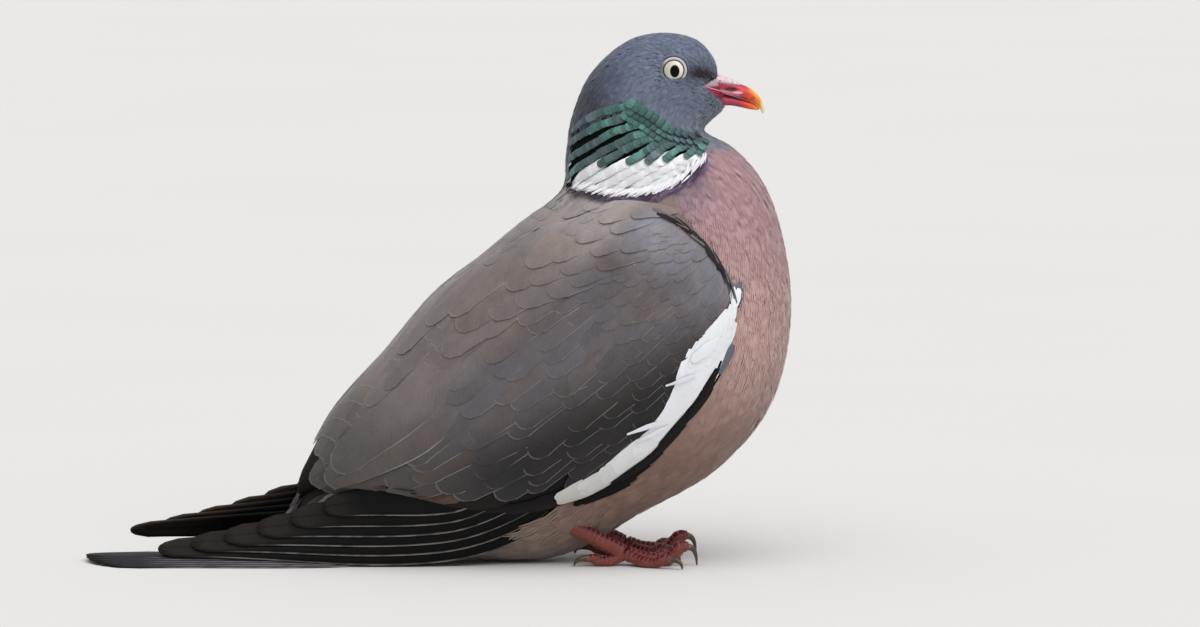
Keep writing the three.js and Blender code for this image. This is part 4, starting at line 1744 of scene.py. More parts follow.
    def lay_row(self, draping: Draping, row: Row) -> None:
        """Lays one row of feathers, a little unevenly.

        Args:
            draping: what lays them.
            row: the row.
        """
        reach = float(gone(np.array(row.tips))[-1])
        count = max(int(reach / (row.kind.width * row.packing)) + 1, 1)
        shares = (np.arange(count) + 0.5) / count if count > 1 else np.array([0.0])
        for share, tip in zip(shares, along_path(row.tips, shares)):
            heading = row.headings[0] + (row.headings[1] - row.headings[0]) * share
            grown = 1 + 0.06 * draping.rng.standard_normal()
            jitter = 0.045 * row.kind.length * draping.rng.standard_normal(2)
            draping.lay(row.kind, tuple(tip + jitter), heading, grown)

    def rows(self) -> list[Row]:
        """The rows of tertials, inner quills and coverts, from the tail end to the wrist.

        Returns:
            The rows.
        """
        tertial = Kind(LARGE_VANE, 62, 18, Lay(tip=2.1, root=0.5, roll=0.35))
        rows = [
            Row(((-110.5, 43), (-109.5, 42)), (217, 217), tertial),
            Row(((-112, 31.5), (-111, 31)), (208, 208), tertial),
        ]
        for tips, headings, length, width in self.COVERTS:
            large = width > 10
            lay = Lay(tip=0.8, roll=0.35) if large else Lay()
            kind = Kind(LARGE_VANE if large else COVERT_VANE, length, width, lay)
            rows.append(Row(tips, headings, kind, 0.5 if large else 0.56))
        return rows

    def scapulars(self) -> list[Row]:
        """The rows of scapulars, from the rear to the shoulder."""
        return [
            Row(tips, (219, 210), Kind(LARGE_VANE, length, width, Lay(tip=1.2, roll=0.35)), 0.5)
            for tips, width, length in self.SCAPULARS
        ]

    def lay_dorsal(self, draping: Draping) -> None:
        """Lays the rows that close the back between the two wings, seen from above.

        Args:
            draping: what lays them.
        """
        slope, longest = 0.77, 40.0
        first_lane, last_lane, lane_gap = 1.5, 36.0, 3.25
        rear, row_gap, stagger, shortest = -117.0, 5.0, 1.3, 6
        for number, y in enumerate(np.arange(first_lane, last_lane, lane_gap)):
            front = -17 + 1.1 * max(y - 12, 0)
            for x in np.arange(rear + stagger * (number % 4), front - shortest, row_gap):
                length = min(longest, (front - x) / slope)
                aim = Vector((-slope, 0.01 * y * self.side.value, -0.64)).normalized()
                kind = Kind(LARGE_VANE, length, 7 + 0.18 * length, Lay(tip=0.75, root=0.25, roll=0.12))
                root = draping.hull.below(x + slope * length, self.side.value * y)
                line = draping.line(root, aim, length)
                off = max(draping.hull.tree.find_nearest(Vector(place))[3] for place in line.places)
                if off < self.OFF_HULL:
                    draping.put(kind, line)

    def lay_edge(self, draping: Draping) -> None:
        """Lays the white feathers along the wing's leading edge, over a fringe of black ones.

        Args:
            draping: what lays them.
        """
        outer = (
            (46.7, 101.5), (48.1, 93.3), (47.8, 87.8), (44.8, 80.4), (40.7, 74.1), (37, 67.4), (32.6, 60.7),
            (27, 53.3), (20.7, 45.2), (14.1, 38.5), (6.7, 33), (-0.7, 28.5), (-8.1, 24.8), (-22, 22.2),
        )
        inner = (
            (43.9, 99), (39.5, 91.3), (34.0, 85.7), (29.0, 81.0), (27.6, 74.1), (26.5, 68), (25.9, 61.9),
            (20, 55.8), (12.6, 49.7), (3.8, 40.8), (-4.9, 36.8), (-10.6, 32.6), (-21.7, 24.5),
        )
        stops = np.linspace(0, 1, 60)
        far, near = along_path(outer, stops), along_path(inner, stops)
        breadth = np.linalg.norm(near - far, axis=-1)
        over = (near - far) / breadth[:, None]
        widths = np.interp(stops, (0, 0.2, 0.35, 0.7, 1), (3, 4.2, 6.4, 6, 4.6))
        drawn_in = np.interp(stops, (0, 0.2, 0.42, 0.57, 0.75, 1), (2.4, 3.4, 2.9, 2.1, 1.2, 1.0))
        step, edge_length, longest = 0.03, 108, 19.0
        fringe = -1
        for lane in (fringe, 1, 2 / 3, 1 / 3, 0):
            inset, first, last = drawn_in + widths / 2 + np.maximum(breadth - widths, 0) * lane, step, 1.0
            if lane == fringe:
                inset, first, last = drawn_in - 0.9, 0.36, 0.93
            path = far + over * inset[:, None]
            for share in np.arange(first, last, step):
                length = min(8.0 + 34.0 * float(share), longest)
                root, tip = along_path(path, np.array([max(share - length / edge_length, 0), share]))
                white = self.WHITES[int(max(share - 0.5, 0) * 11.9)]
                width = float(np.interp(share, stops, widths))
                kind = Kind(COVERT_VANE, length, width, Lay(tip=1.1, root=0.6, roll=0.1), white)
                if lane == fringe:
                    kind = Kind(COVERT_VANE, length, 3.1, Lay(tip=1.25, root=1.1, roll=0), "0E0C0C")
                draping.lay(kind, tuple(tip), heading_of(tip - root))
        for kind, tip, heading in self.SINGLE:
            draping.lay(kind, tip, heading)

    def lay_front(self, draping: Draping) -> None:
        """Lays short dark feathers in the line where the breast laps the wing's front, as painted shadow
        between the breast and the wing.

        Args:
            draping: what lays them.
        """
        path = ((17, 132), (26, 127), (32.9, 120.8), (39.5, 112), (44, 104), (46.8, 99))
        back, step = 0.14, 0.045
        for share in np.arange(back, 1.0, step):
            near = along_path(path, np.array([share - back, share]))
            width = 1.2 + 1.3 * math.sin(math.pi * float(share))
            colour = self.FRONT[int(share * 50) % 3]
            kind = Kind(WISP_VANE, 9, width, Lay(tip=1.15, root=1.0, roll=0.1), colour)
            draping.lay(kind, tuple(near[1]), heading_of(near[1] - near[0]))


# ---------------------------------------------------------------- neck patches


@dataclass(frozen=True)
class Ridge:
    """One ridge of stacked neck feathers: its path down and back, and where it turns white."""

    path: tuple[Pair, ...]
    white_from: float = 1.0


@dataclass(frozen=True)
class NeckPatch:
    """The patch on one side of the neck: ridges of squared green feathers that end in white ones.

    The lengths and gaps are one feather's length and its distance from the next, in millimetres. A
    ridge that turns white beyond ALL_GREEN of its way has no white feathers.
    """

    side: Side

    OUTLINE = (
        (5.5, 171.2), (-3, 169.5), (-10.5, 165.5), (-16.5, 161.5), (-18.5, 152), (-18, 143),
        (-12, 138), (-3, 138), (8, 139), (17, 142), (25, 146.4), (31.3, 150), (34.8, 154),
        (29, 157.3), (21, 160.8), (12, 166),
    )
    RIDGES = (
        Ridge(((5.9, 169.8), (-4.4, 166.9), (-10, 164), (-15, 160.6))),
        Ridge(((10.4, 166.5), (3, 165), (-4.4, 162.4), (-10, 159.5), (-16.5, 155.9))),
        Ridge(((12.2, 163), (6.7, 162.2), (0, 159.6), (-6.3, 155.9), (-17, 149.9))),
        Ridge(((13.5, 160), (6.7, 158.0), (-2.6, 153.2), (-8.1, 149.6), (-17, 144.2))),
        Ridge(((14.8, 157.8), (10.4, 156.3), (4.8, 153.7), (0, 150.4), (-6, 147), (-16, 141.5)), 0.62),
        Ridge(((17.8, 156.3), (14.1, 154.1), (6.7, 148.9), (-0.7, 145.4), (-13.5, 139)), 0.4),
        Ridge(((21.5, 155.2), (17.8, 153.3), (12.2, 148), (3, 143.4), (-6.5, 138)), 0.36),
        Ridge(((25.9, 153.7), (22.2, 151.9), (18.6, 148.6), (10.4, 144), (0, 138)), 0.3),
        Ridge(((30.7, 152.6), (27.4, 150.7), (24.8, 148.2), (17.8, 144.6), (7.4, 138.4)), 0.24),
        Ridge(((32.3, 153.4), (30.2, 150.2), (25.2, 146), (15.3, 139.6), (9.5, 136.8)), 0.12),
    )
    GREENS = ("5F6B74", "556269", "4A5E62", "445F5D", "416460", "456D67", "55817A")
    FRINGE = ("37313B", "4A404F", "685373", "86718D")
    GREEN_LENGTH = 4.6
    GREEN_GAP = 1.45
    WHITE_LENGTH = 9.5
    WHITE_GAP = 2.8
    ALL_GREEN = 0.9
    WHITE_VANE = Vane(columns=6, rows=6, root=0.7, widest=0.45, taper=0.2, round_tip=1.2, part_from=0.6)

    @classmethod
    def ground(cls, places: Points) -> Points:
        """How far inside a patch some places lie, from 0 outside to 1.

        Args:
            places: points in millimetres.

        Returns:
            A share for each.
        """
        x, z = places[..., 0], places[..., 2]
        inside = np.zeros(x.shape, bool)
        ring = cls.OUTLINE
        for (x0, z0), (x1, z1) in zip(ring, ring[1:] + ring[:1]):
            crosses = (z0 > z) != (z1 > z)
            inside ^= crosses & (x < (x1 - x0) * (z - z0) / (z1 - z0 + 1e-9) + x0)
        return (inside & (np.abs(places[..., 1]) > 5)).astype(float)

    @classmethod
    def fringe(cls, places: Points) -> Points:
        """How mauve some places are, for the few millimetres below a patch."""
        steps = (1.5, 4.0, 7.0, 11.0)
        below = sum(cls.ground(places + (-0.4 * step, 0, step)) for step in steps) / len(steps)
        return 0.7 * below * (places[..., 0] > -12)

    def dress(self) -> None:
        """Lays the patch's feathers."""
        at = np.linspace(3.0, 9.6, 120)
        sheet = SURFACE.sheet(at, 121, -DEPTH(at)[:, None])
        draping = Draping(Hull((sheet,)), self.side, 51 + self.side.value)
        vane = Vane(columns=4, rows=3, root=0.75, widest=0.5, round_tip=0.6)
        scale = Vane(columns=4, rows=3, root=0.75, widest=0.5, round_tip=0.3)
        for ridge in self.RIDGES:
            self.lay_ridge(draping, ridge, vane)
        for tip in self.scale_places():
            size = 2.9 + 0.3 * draping.rng.random()
            lay = Lay(tip=2.85, root=1.0, roll=0.2, rounded=0.45)
            kind = Kind(scale, self.GREEN_LENGTH, size, lay, self.green(draping.rng, 1.2 + 0.1 * tip[0]))
            draping.lay(kind, tip, 232 - 1.2 * max(tip[0] - 15, 0) + 2 * draping.rng.standard_normal())
        glossy = {"metallic": 0.25, "roughness": 0.5, "specular": 0.4, "sheen": 0.1, "relief": 0.12}
        # painted shadow: a dark rim along each green feather's lower edge and tip
        dark = {"rim": 0.85, "rim_from": 0.75, "rim_colour": "141B1A", "tip_rim": 1.0}
        uneven = {"barb": 0.3, "contrast": 0.6, "mottle": 0.4, "chance": 0.3}
        finish = FeatherFinish("iridescent_neck_barbs", **uneven, **glossy, **dark)
        draping.build("green_patch", finish, "neck_feathers")
        self.lay_fringe(draping)
        for ridge in self.RIDGES:
            self.lay_white(draping, ridge)
        even = {"contrast": 0.2, "mottle": 0.1, "chance": 0.08, "roughness": 0.75}
        # painted shadow: a grey line along each white feather's lower edge, between the bands
        grey = {"rim": 0.6, "rim_from": 0.82, "rim_colour": "77747F", "tip_rim": 0.0}
        finish = FeatherFinish("white_neck_barbs", **even, **grey)
        draping.build("white_patch", finish, "neck_feathers")

    @classmethod
    def green(cls, rng: np.random.Generator, phase: float) -> str:
        """One feather's colour, from slate to green by turns, given how far through a turn it is."""
        place = 3.6 + 2.2 * math.sin(phase) + 1.1 * rng.standard_normal()
        return cls.GREENS[max(0, min(round(place), len(cls.GREENS) - 1))]

    def lay_ridge(self, draping: Draping, ridge: Ridge, vane: Vane) -> None:
        """Lays the green part of a ridge, one squared feather after another.

        Args:
            draping: what lays them.
            ridge: the ridge.
            vane: the feathers' vane.
        """
        reach = self.reach(ridge)
        for share in np.arange(0.0, ridge.white_from + 0.01, self.GREEN_GAP / reach):
            tip, heading = self.step(ridge, share)
            size = 2.6 + 0.5 * math.sin(math.pi * min(share, 1.0)) + 0.15 * draping.rng.standard_normal()
            height = 2.0 + min(share * reach / 8, 0.3)
            if ridge.white_from < self.ALL_GREEN and share > ridge.white_from - 3.5 / reach:
                height = 2.9
            lay = Lay(tip=height, root=height - 1.05, roll=0, camber=0.06, rounded=0.3)
            colour = self.green(draping.rng, ridge.path[0][0] + 7 * share)
            kind = Kind(vane, self.GREEN_LENGTH, size, lay, colour)
            draping.lay(kind, tip, heading)

    def lay_white(self, draping: Draping, ridge: Ridge) -> None:
        """Lays the long white feathers in which a ridge ends.

        Args:
            draping: what lays them.
            ridge: the ridge.
        """
        if ridge.white_from > self.ALL_GREEN:
            return
        reach = self.reach(ridge)
        lay = Lay(tip=2.7, root=0.9, roll=0.35, camber=0.06, rounded=0.35)
        for share in np.arange(ridge.white_from + 4.2 / reach, 1.04, self.WHITE_GAP / reach):
            tip, heading = self.step(ridge, min(share, 1.0))
            length = min(self.WHITE_LENGTH, float(share) * reach - 0.6)
            draping.lay(Kind(self.WHITE_VANE, length, 4.4, lay, "EDEDEF"), tip, heading + 3)

    def lay_fringe(self, draping: Draping) -> None:
        """Lays the short dark and mauve feathers that the white ones end over.

        Args:
            draping: what lays them.
        """
        vane = Vane(columns=3, rows=4, root=0.7, widest=0.4, taper=0.2, part_from=0.4, fray=0.7)
        path = ((-16, 136.6), (-3.1, 132.4), (15.8, 133.6), (27.4, 139.4), (31.6, 144.4))
        for share in np.arange(0.0, 1.0, 0.014):
            x, z = along_path(path, np.array([share]))[0] + 0.5 * draping.rng.standard_normal(2)
            colour = str(draping.rng.choice(self.FRINGE[:2] if share < 0.25 else self.FRINGE[1:]))
            kind = Kind(vane, 8.0, 1.7, Lay(tip=3.7, root=0.8, roll=0.1, rounded=0.2), colour)
            draping.lay(kind, (float(x), float(z)), 212 + 30 * float(share))
        path = ((-13, 138.6), (-5.1, 135.8), (3, 134.9), (11.6, 135.6), (19, 137.6))
        path += ((25.4, 141.6), (31.4, 147))
        for share in np.arange(0.0, 1.0, 0.0065):
            x, z = along_path(path, np.array([share]))[0] + 0.45 * draping.rng.standard_normal(2)
            kind = Kind(WISP_VANE, 5.0, 0.75, Lay(tip=3.9, root=2.5, roll=0, rounded=0.1), "ECEAEE")
            heading = 222 + 24 * float(share) + 5 * draping.rng.standard_normal()
            draping.lay(kind, (float(x), float(z)), heading)

    def reach(self, ridge: Ridge) -> float:
        """A ridge's length in millimetres."""
        return float(gone(np.array(ridge.path))[-1])

    def step(self, ridge: Ridge, share: float) -> tuple[Pair, float]:
        """A place on a ridge and the way it runs there, in degrees.

        Args:
            ridge: the ridge.
            share: how far along.

        Returns:
            x and z, and the heading.
        """
        here = along_path(ridge.path, np.array([share]))[0]
        near = along_path(ridge.path, np.array([min(share + 0.06, 1), max(share - 0.06, 0)]))
        return (float(here[0]), float(here[1])), heading_of(near[0] - near[1])

    def scale_places(self) -> list[Pair]:
        """Where the small square scales in front of the ridges have their tips.

        Returns:
            x and z of each.
        """
        edge = ((5.5, 170), (13, 165.5), (19.5, 160), (26.6, 156.4), (32.3, 154.6))
        places = []
        for row, (down, last) in enumerate(((5.2, 0.55), (2.9, 0.95), (0.7, 0.95))):
            shares = np.arange(0.03 + 0.04 * (row % 2), last, 0.078)
            for x, z in along_path(edge, shares):
                places.append((float(x) - 0.45 * down, float(z) - 0.9 * down))
        return places


# ---------------------------------------------------------------- long quills


@dataclass(frozen=True)
class QuillFinish:
    """Flight feather: tight, faintly glossy vane on a horny shaft, with a thin pale leading edge.

    Its barbs are drawn 0.55 mm apart, coarser than real ones so that they show, in broader bands.
    """

    name: str
    pale_edge: float = 0.7
    pale_from: float = 0.955

    def material(self) -> Material:
        """Builds the finish.

        Returns:
            The material.
        """
        t = Tree(self.name)
        across, off, row, _, seed = t.barbs(1.1, 0.55)
        fine = t.add("CombineXYZ", row, t.add(Op.MULTIPLY, across, 0.2), seed)
        barbs = t.add("TexNoise", fine, 1.0, 1.0)
        wide = t.add("CombineXYZ", t.add(Op.MULTIPLY, row, 0.08), t.add(Op.MULTIPLY, across, 0.1), seed)
        broad = t.add("TexNoise", wide, 1.0, 2.0)
        value = t.varied(t.varied(1.0, barbs, 0.25), broad, 0.35)
        shaft = t.add(Op.SUBTRACT, 1.0, t.add(Op.BAND, off, 0.3, 0.55))
        value = t.add(Op.MULTIPLY_ADD, shaft, -0.35, value)
        beside, along = t.flat("Rim")
        lead = t.add(Op.BAND, beside, self.pale_from, self.pale_from + 0.03)
        lead = t.add(Op.MULTIPLY, lead, t.add(Op.SUBTRACT, 1.0, t.add(Op.BAND, along, 0.8, 0.97)))
        worn = t.add(Op.MULTIPLY_ADD, t.add(Op.BAND, broad, 0.35, 0.6), 0.6, 0.4)
        lead = t.add(Op.MULTIPLY, t.add(Op.MULTIPLY, lead, worn), self.pale_edge)
        colour = t.layered(t.plume(value), (lead, "A29D97"))
        return t.finish(barbs, 0.06, Base_Color=colour, Roughness=0.55, Specular_IOR_Level=0.12)


@dataclass(frozen=True)
class Quill:
    """One long feather: its middle line, the way its vane stands, its width and its colours."""

    centre: Points
    face: Points
    width: float
    colour: str
    tip_colour: str
    thickness: float = 0.7
    lead: int = 1

    def add(self, mesh: FeatherMesh, pattern: Pattern, chance: float) -> None:
        """Adds the feather to a mesh.

        Args:
            mesh: the mesh.
            pattern: its pattern, a closed blade of unit width and thickness.
            chance: its number from 0 to 1.
        """
        stops = gone(self.centre)
        across, along = pattern.single(float(stops[-1]), self.width, chance)
        ways = np.gradient(self.centre, axis=0)
        base, way, face = (read_rows(along, stops, rows) for rows in (self.centre, ways, self.face))
        way = unit(way)
        face = unit(face - way * (face * way).sum(-1, keepdims=True))
        aside = np.cross(face, way) * self.lead
        height = self.thickness * (pattern.layer + 0.5) - 0.02 * self.width * pattern.edge**2
        points = base + aside * across[:, None] + face * height[:, None]
        points[:, 2] = np.maximum(points[:, 2], 0.3 + 0.3 * (pattern.layer + 0.5))
        colour = layered(self.colour, (self.tip_colour, ease(pattern.along, 0.75, 1)))
        mesh.add_one(pattern, (across, along), chance, points, np.zeros_like(points), self.centre[0], colour)


QUILL_VANE = Vane(columns=6, rows=26, root=0.25, widest=0.3, taper=0.45, round_tip=2.0, thickness=1.0)


def mix(low: float, high: float, share: Points) -> Points:
    """The number at a share of the way between two."""
    return low + (high - low) * share


@dataclass(frozen=True)
class Primaries:
    """The outer quills of one folded wing, fanned like a roof's side over the tail.

    Pairs are values at the wrist and at the tip, or for the shortest and the longest quill. Each
    lies spacing below the last and layer closer in. The left tips lie higher and reach further.
    """

    side: Side
    count: int = 6
    width: float = 17.0
    layer: float = 1.1
    roots: Pair = (-42, -20)
    tips: Pair = (-106.7, -168)
    height: Pair = (36, 7.4)
    beside: Pair = (29, 4)
    spacing: Pair = (2.4, 0.7)
    bow: float = 1.8
    lean: Pair = (-0.4, 0.9)
    left_lift: float = 5.5
    left_reach: float = 11.0

    def line(self, k: int) -> tuple[Points, Points]:
        """One quill's middle line and the way its face looks.

        Args:
            k: its number from the shortest.

        Returns:
            Points and faces.
        """
        rank = k / (self.count - 1)
        v = np.linspace(0, 1, 24)
        start, end = mix(*self.roots, rank), mix(*self.tips, rank)
        left = self.side is Side.LEFT
        reach = np.clip((self.roots[1] - mix(start, end, v)) / (self.roots[1] - self.tips[1]), 0, 1)
        lean = mix(*self.lean, reach)
        down = k * (mix(*self.spacing, reach) + self.bow * np.sin(np.pi * np.sqrt(reach)))
        out = (self.count - 1 - k) * self.layer
        y = mix(*self.beside, reach**0.9) + down * np.sin(lean) + out * np.cos(lean)
        z = mix(*self.height, reach**1.1) + (self.left_lift if left else 0) * reach
        z = z - down * np.cos(lean) + out * np.sin(lean)
        x = mix(start, end - (self.left_reach if left else 0), v)
        sign = self.side.value
        centre = np.stack([x, sign * y, np.maximum(z, 1.0)], -1)
        return centre, np.stack([np.zeros(24), sign * np.cos(lean), np.sin(lean)], -1)

    def dress(self) -> None:
        """Lays the quills, which stand for the wing's fused ones."""
        mesh = FeatherMesh()
        pattern = QUILL_VANE.cut()
        for k in range(self.count):
            centre, face = self.line(k)
            brown = "241E1B" if self.side is Side.RIGHT else "3A3029"
            quill = Quill(centre, face, self.width, "0B0909", brown, lead=-self.side.value)
            quill.add(mesh, pattern, (k + 0.5) / self.count)
        piece = mesh.build(f"quills_{self.side.word}", QuillFinish("black_quill_vanes").material(), "quills")
        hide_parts(f"primaries_{self.side.word}")


@dataclass(frozen=True)
class Tail:
    """The twelve tail feathers in a low stack, the middle pair on top.

    fan is the degrees from one to the next, step how far each lies below the last and top the
    height of the uppermost at its root, in millimetres.
    """

    pairs: int = 6
    root: float = -80
    length: float = 115
    root_half: float = 9
    width: float = 27
    fan: float = 1.15
    step: float = 0.5
    top: float = 3.4

    def dress(self) -> None:
        """Lays the feathers, which stand for the fused tail."""
        mesh = FeatherMesh()
        pattern = QUILL_VANE.cut()
        for k in range(self.pairs):
            for side in Side:
                sign = side.value
                angle = math.radians(self.fan * (k + 0.5)) * sign
                v = np.linspace(0, 1, 24)
                reach = (self.length - 0.35 * k * k) * v
                top = self.top - self.step * (k + (sign + 1) / 4)
                x = self.root - reach * math.cos(angle)
                y = sign * self.root_half * k / self.pairs + reach * math.sin(angle)
                centre = np.stack([x, y, np.maximum(top * (1 - 0.35 * v), 0.45)], -1)
                face = np.tile((0.0, 0.0, 1.0), (24, 1))
                quill = Quill(centre, face, self.width, "34333A", "141211", thickness=0.5, lead=-sign)
                quill.add(mesh, pattern, (2 * k + (sign + 1) / 2 + 0.5) / 12)
        finish = QuillFinish("grey_tail_vanes", pale_edge=0.35)
        piece = mesh.build("tail_quills", finish.material(), "quills")
        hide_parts("tail")


# ---------------------------------------------------------------- eyes


@dataclass(frozen=True)
class EyeFinish:
    """Wet eye: a pale yellow iris with fine rays, an upright dark pupil and a dark rim.

    iris is its radius, and pupil the pupil's half width and half height, in millimetres. The tears'
    thin coat makes the small bright glints.
    """

    side: Side
    iris: float = 3.55
    pupil: Pair = (1.62, 2.15)
    offset: Pair = (0.35, -0.3)

    def material(self) -> Material:
        """Builds the finish.

        Returns:
            The material.
        """
        t = Tree(f"wet_eye_{self.side.word}")
        x, _, z = t.around(tuple(Eye(self.side).centre()))
        shifted = (t.add(Op.SUBTRACT, value, off) for value, off in zip((x, z), self.offset))
        pupil = t.far(*(t.add(Op.DIVIDE, value, size) for value, size in zip(shifted, self.pupil)))
        far = t.far(x, z)
        turn = t.add(Op.MULTIPLY, t.add(Op.ARCTAN2, z, x), 7.0)
        rays = t.add("TexNoise", t.add("CombineXYZ", turn, t.add(Op.MULTIPLY, far, 0.9), 0.0), 1.3, 3.0)
        dull = t.add(Op.BAND, t.add(Op.ADD, x, t.add(Op.MULTIPLY, z, -0.4)), 0.5, -3.0)
        colour = t.layered(
            t.add(Op.BLEND, rays, linear("CFCBB8"), linear("F1EEE2")),
            (t.add(Op.MULTIPLY, dull, 0.55), "A7A590"),
            (t.add(Op.BAND, pupil, 1.2, 1.0), "6E674C"),
            (t.add(Op.BAND, pupil, 1.06, 0.98), "020202"),
            (t.add(Op.BAND, far, self.iris - 0.14, self.iris + 0.06), "0A0808"),
        )
        return t.finish(
            rays, 0.03, Base_Color=colour, Roughness=0.3, Specular_IOR_Level=0.06, Coat_Weight=0.1,
            Coat_Roughness=0.05,
        )


@dataclass(frozen=True)
class LidFinish:
    """Bare lid skin: pale lilac-grey, finely wrinkled round the eye, with a dark wet edge; painted shade
    darkens its lower back and a crease.

    The wrinkles run outwards, a few to the millimetre, and keep the skin from shining evenly.
    """

    side: Side

    def material(self) -> Material:
        """Builds the finish.

        Returns:
            The material.
        """
        t = Tree(f"lid_skin_{self.side.word}")
        x, _, z = t.around(tuple(Eye(self.side).centre()))
        far = t.far(x, z)
        turn = t.add(Op.MULTIPLY, t.add(Op.ARCTAN2, z, x), 5.0)
        wrinkles = t.add("TexNoise", t.add("CombineXYZ", turn, t.add(Op.MULTIPLY, far, 3.0), 0.0), 1.6, 2.0)
        skin = t.add(Op.BLEND, wrinkles, linear("A29DAA"), linear("CFCBD4"))
        # painted light and shade: the lid is paler above and in front, darker below and behind
        above = t.add(Op.BAND, t.add(Op.ADD, x, z), -2.6, 1.0)
        # painted shade: a dark crease line on the lid's upper, front part
        crease = t.add(Op.MULTIPLY, t.add(Op.BAND, far, 4.75, 4.95), t.add(Op.BAND, far, 5.5, 5.25))
        colour = t.layered(
            t.add(Op.BLEND, above, linear("6F6C68"), skin),
            (t.add(Op.BAND, far, 4.02, 3.88), "0F0C0B"),
            (t.add(Op.BAND, far, 5.0, 5.35), "666C7B"),
            (t.add(Op.MULTIPLY, crease, above), "24232B"),
        )
        return t.finish(wrinkles, 0.12, Base_Color=colour, Roughness=0.5, Specular_IOR_Level=0.4)


@dataclass(frozen=True)
class Eye:
    """One eye with its lids."""

    side: Side
    radius: float = 5.4
    height: float = 13.5
    lid: tuple[Pair, ...] = (
        (6.3, -2.8), (5.9, -1.6), (5.55, -0.75), (5.3, -0.3), (5.1, -0.22), (4.85, 0.12), (4.5, 0.38),
        (4.15, 0.38), (3.98, 0.22), (3.86, 0.34), (3.7, 0.26), (3.6, -0.2),
    )

    BARE = 5.5

    @classmethod
    def shorten(cls, places: Points) -> Points:
        """How much shorter the small feathers grow near the eyes."""
        off = [np.linalg.norm(places - cls(side).centre(), axis=-1) for side in Side]
        return 0.5 + 0.5 * ease(np.minimum(*off), cls.BARE, cls.BARE + 4)

    def centre(self) -> Points:
        """The eye's middle in millimetres."""
        return np.array([22.7, self.side.value * 9.8, 182.9])

    def build(self) -> None:
        """Makes the eyeball and its lids."""
        middle = Vector(STANCE.place(*self.centre()))
        shape = bmesh.new()
        bmesh.ops.create_uvsphere(shape, u_segments=48, v_segments=32, radius=self.radius * MM)
        bmesh.ops.rotate(shape, verts=shape.verts, matrix=Matrix.Rotation(math.pi / 2, 3, "X"))
        bmesh.ops.translate(shape, verts=shape.verts, vec=middle)
        ball = finished(shape, f"eyeball_{self.side.word}", EyeFinish(self.side).material(), "eye")
        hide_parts(f"eye_{self.side.word}")
        shape = bmesh.new()
        x, _, z = self.centre()
        y = self.side.value
        verts = [shape.verts.new(STANCE.place(x + out, y * (self.height + up), z)) for out, up in self.lid]
        edges = [shape.edges.new(pair) for pair in zip(verts, verts[1:])]
        turn = {"axis": (0, 1, 0), "angle": 2 * math.pi, "steps": 56, "use_merge": True}
        bmesh.ops.spin(shape, geom=verts + edges, cent=middle, dvec=(0, 0, 0), **turn)
        for vert in shape.verts:
            self.shape_lid(vert, middle)
        bmesh.ops.recalc_face_normals(shape, faces=shape.faces)
        if sum(face.normal.y * face.calc_area() for face in shape.faces) * self.side.value < 0:
            bmesh.ops.reverse_faces(shape, faces=shape.faces)
        finished(shape, f"lids_{self.side.word}", LidFinish(self.side).material(), "head_feathers")

    def shape_lid(self, vert: bmesh.types.BMVert, middle: Vector) -> None:
        """Flattens the lid's opening a little above and behind, and beds its outer edge in the head.

        Args:
            vert: one point of the lid.
            middle: the eye's middle.
        """
        off = (vert.co - middle) / MM
        far = math.hypot(off.x, off.z)
        inner = max(0.0, min((5.2 - far) / 1.3, 1.0))
        lower_back = max(0.0, (-off.x - off.z) / max(far, 0.1) - 0.9)
        pinch = 1 - inner * (0.05 * abs(off.z) / max(far, 0.1) + 0.16 * lower_back)
        vert.co.x = middle.x + off.x * pinch * MM
        vert.co.z = middle.z + off.z * pinch * MM
        outer = max(0.0, (far - 5.3) / 1.7)
        slope = -0.016 * off.z * abs(off.z) * outer - 0.02 * off.x * abs(off.x) * outer
        vert.co.y += self.side.value * slope * MM


# ---------------------------------------------------------------- bill


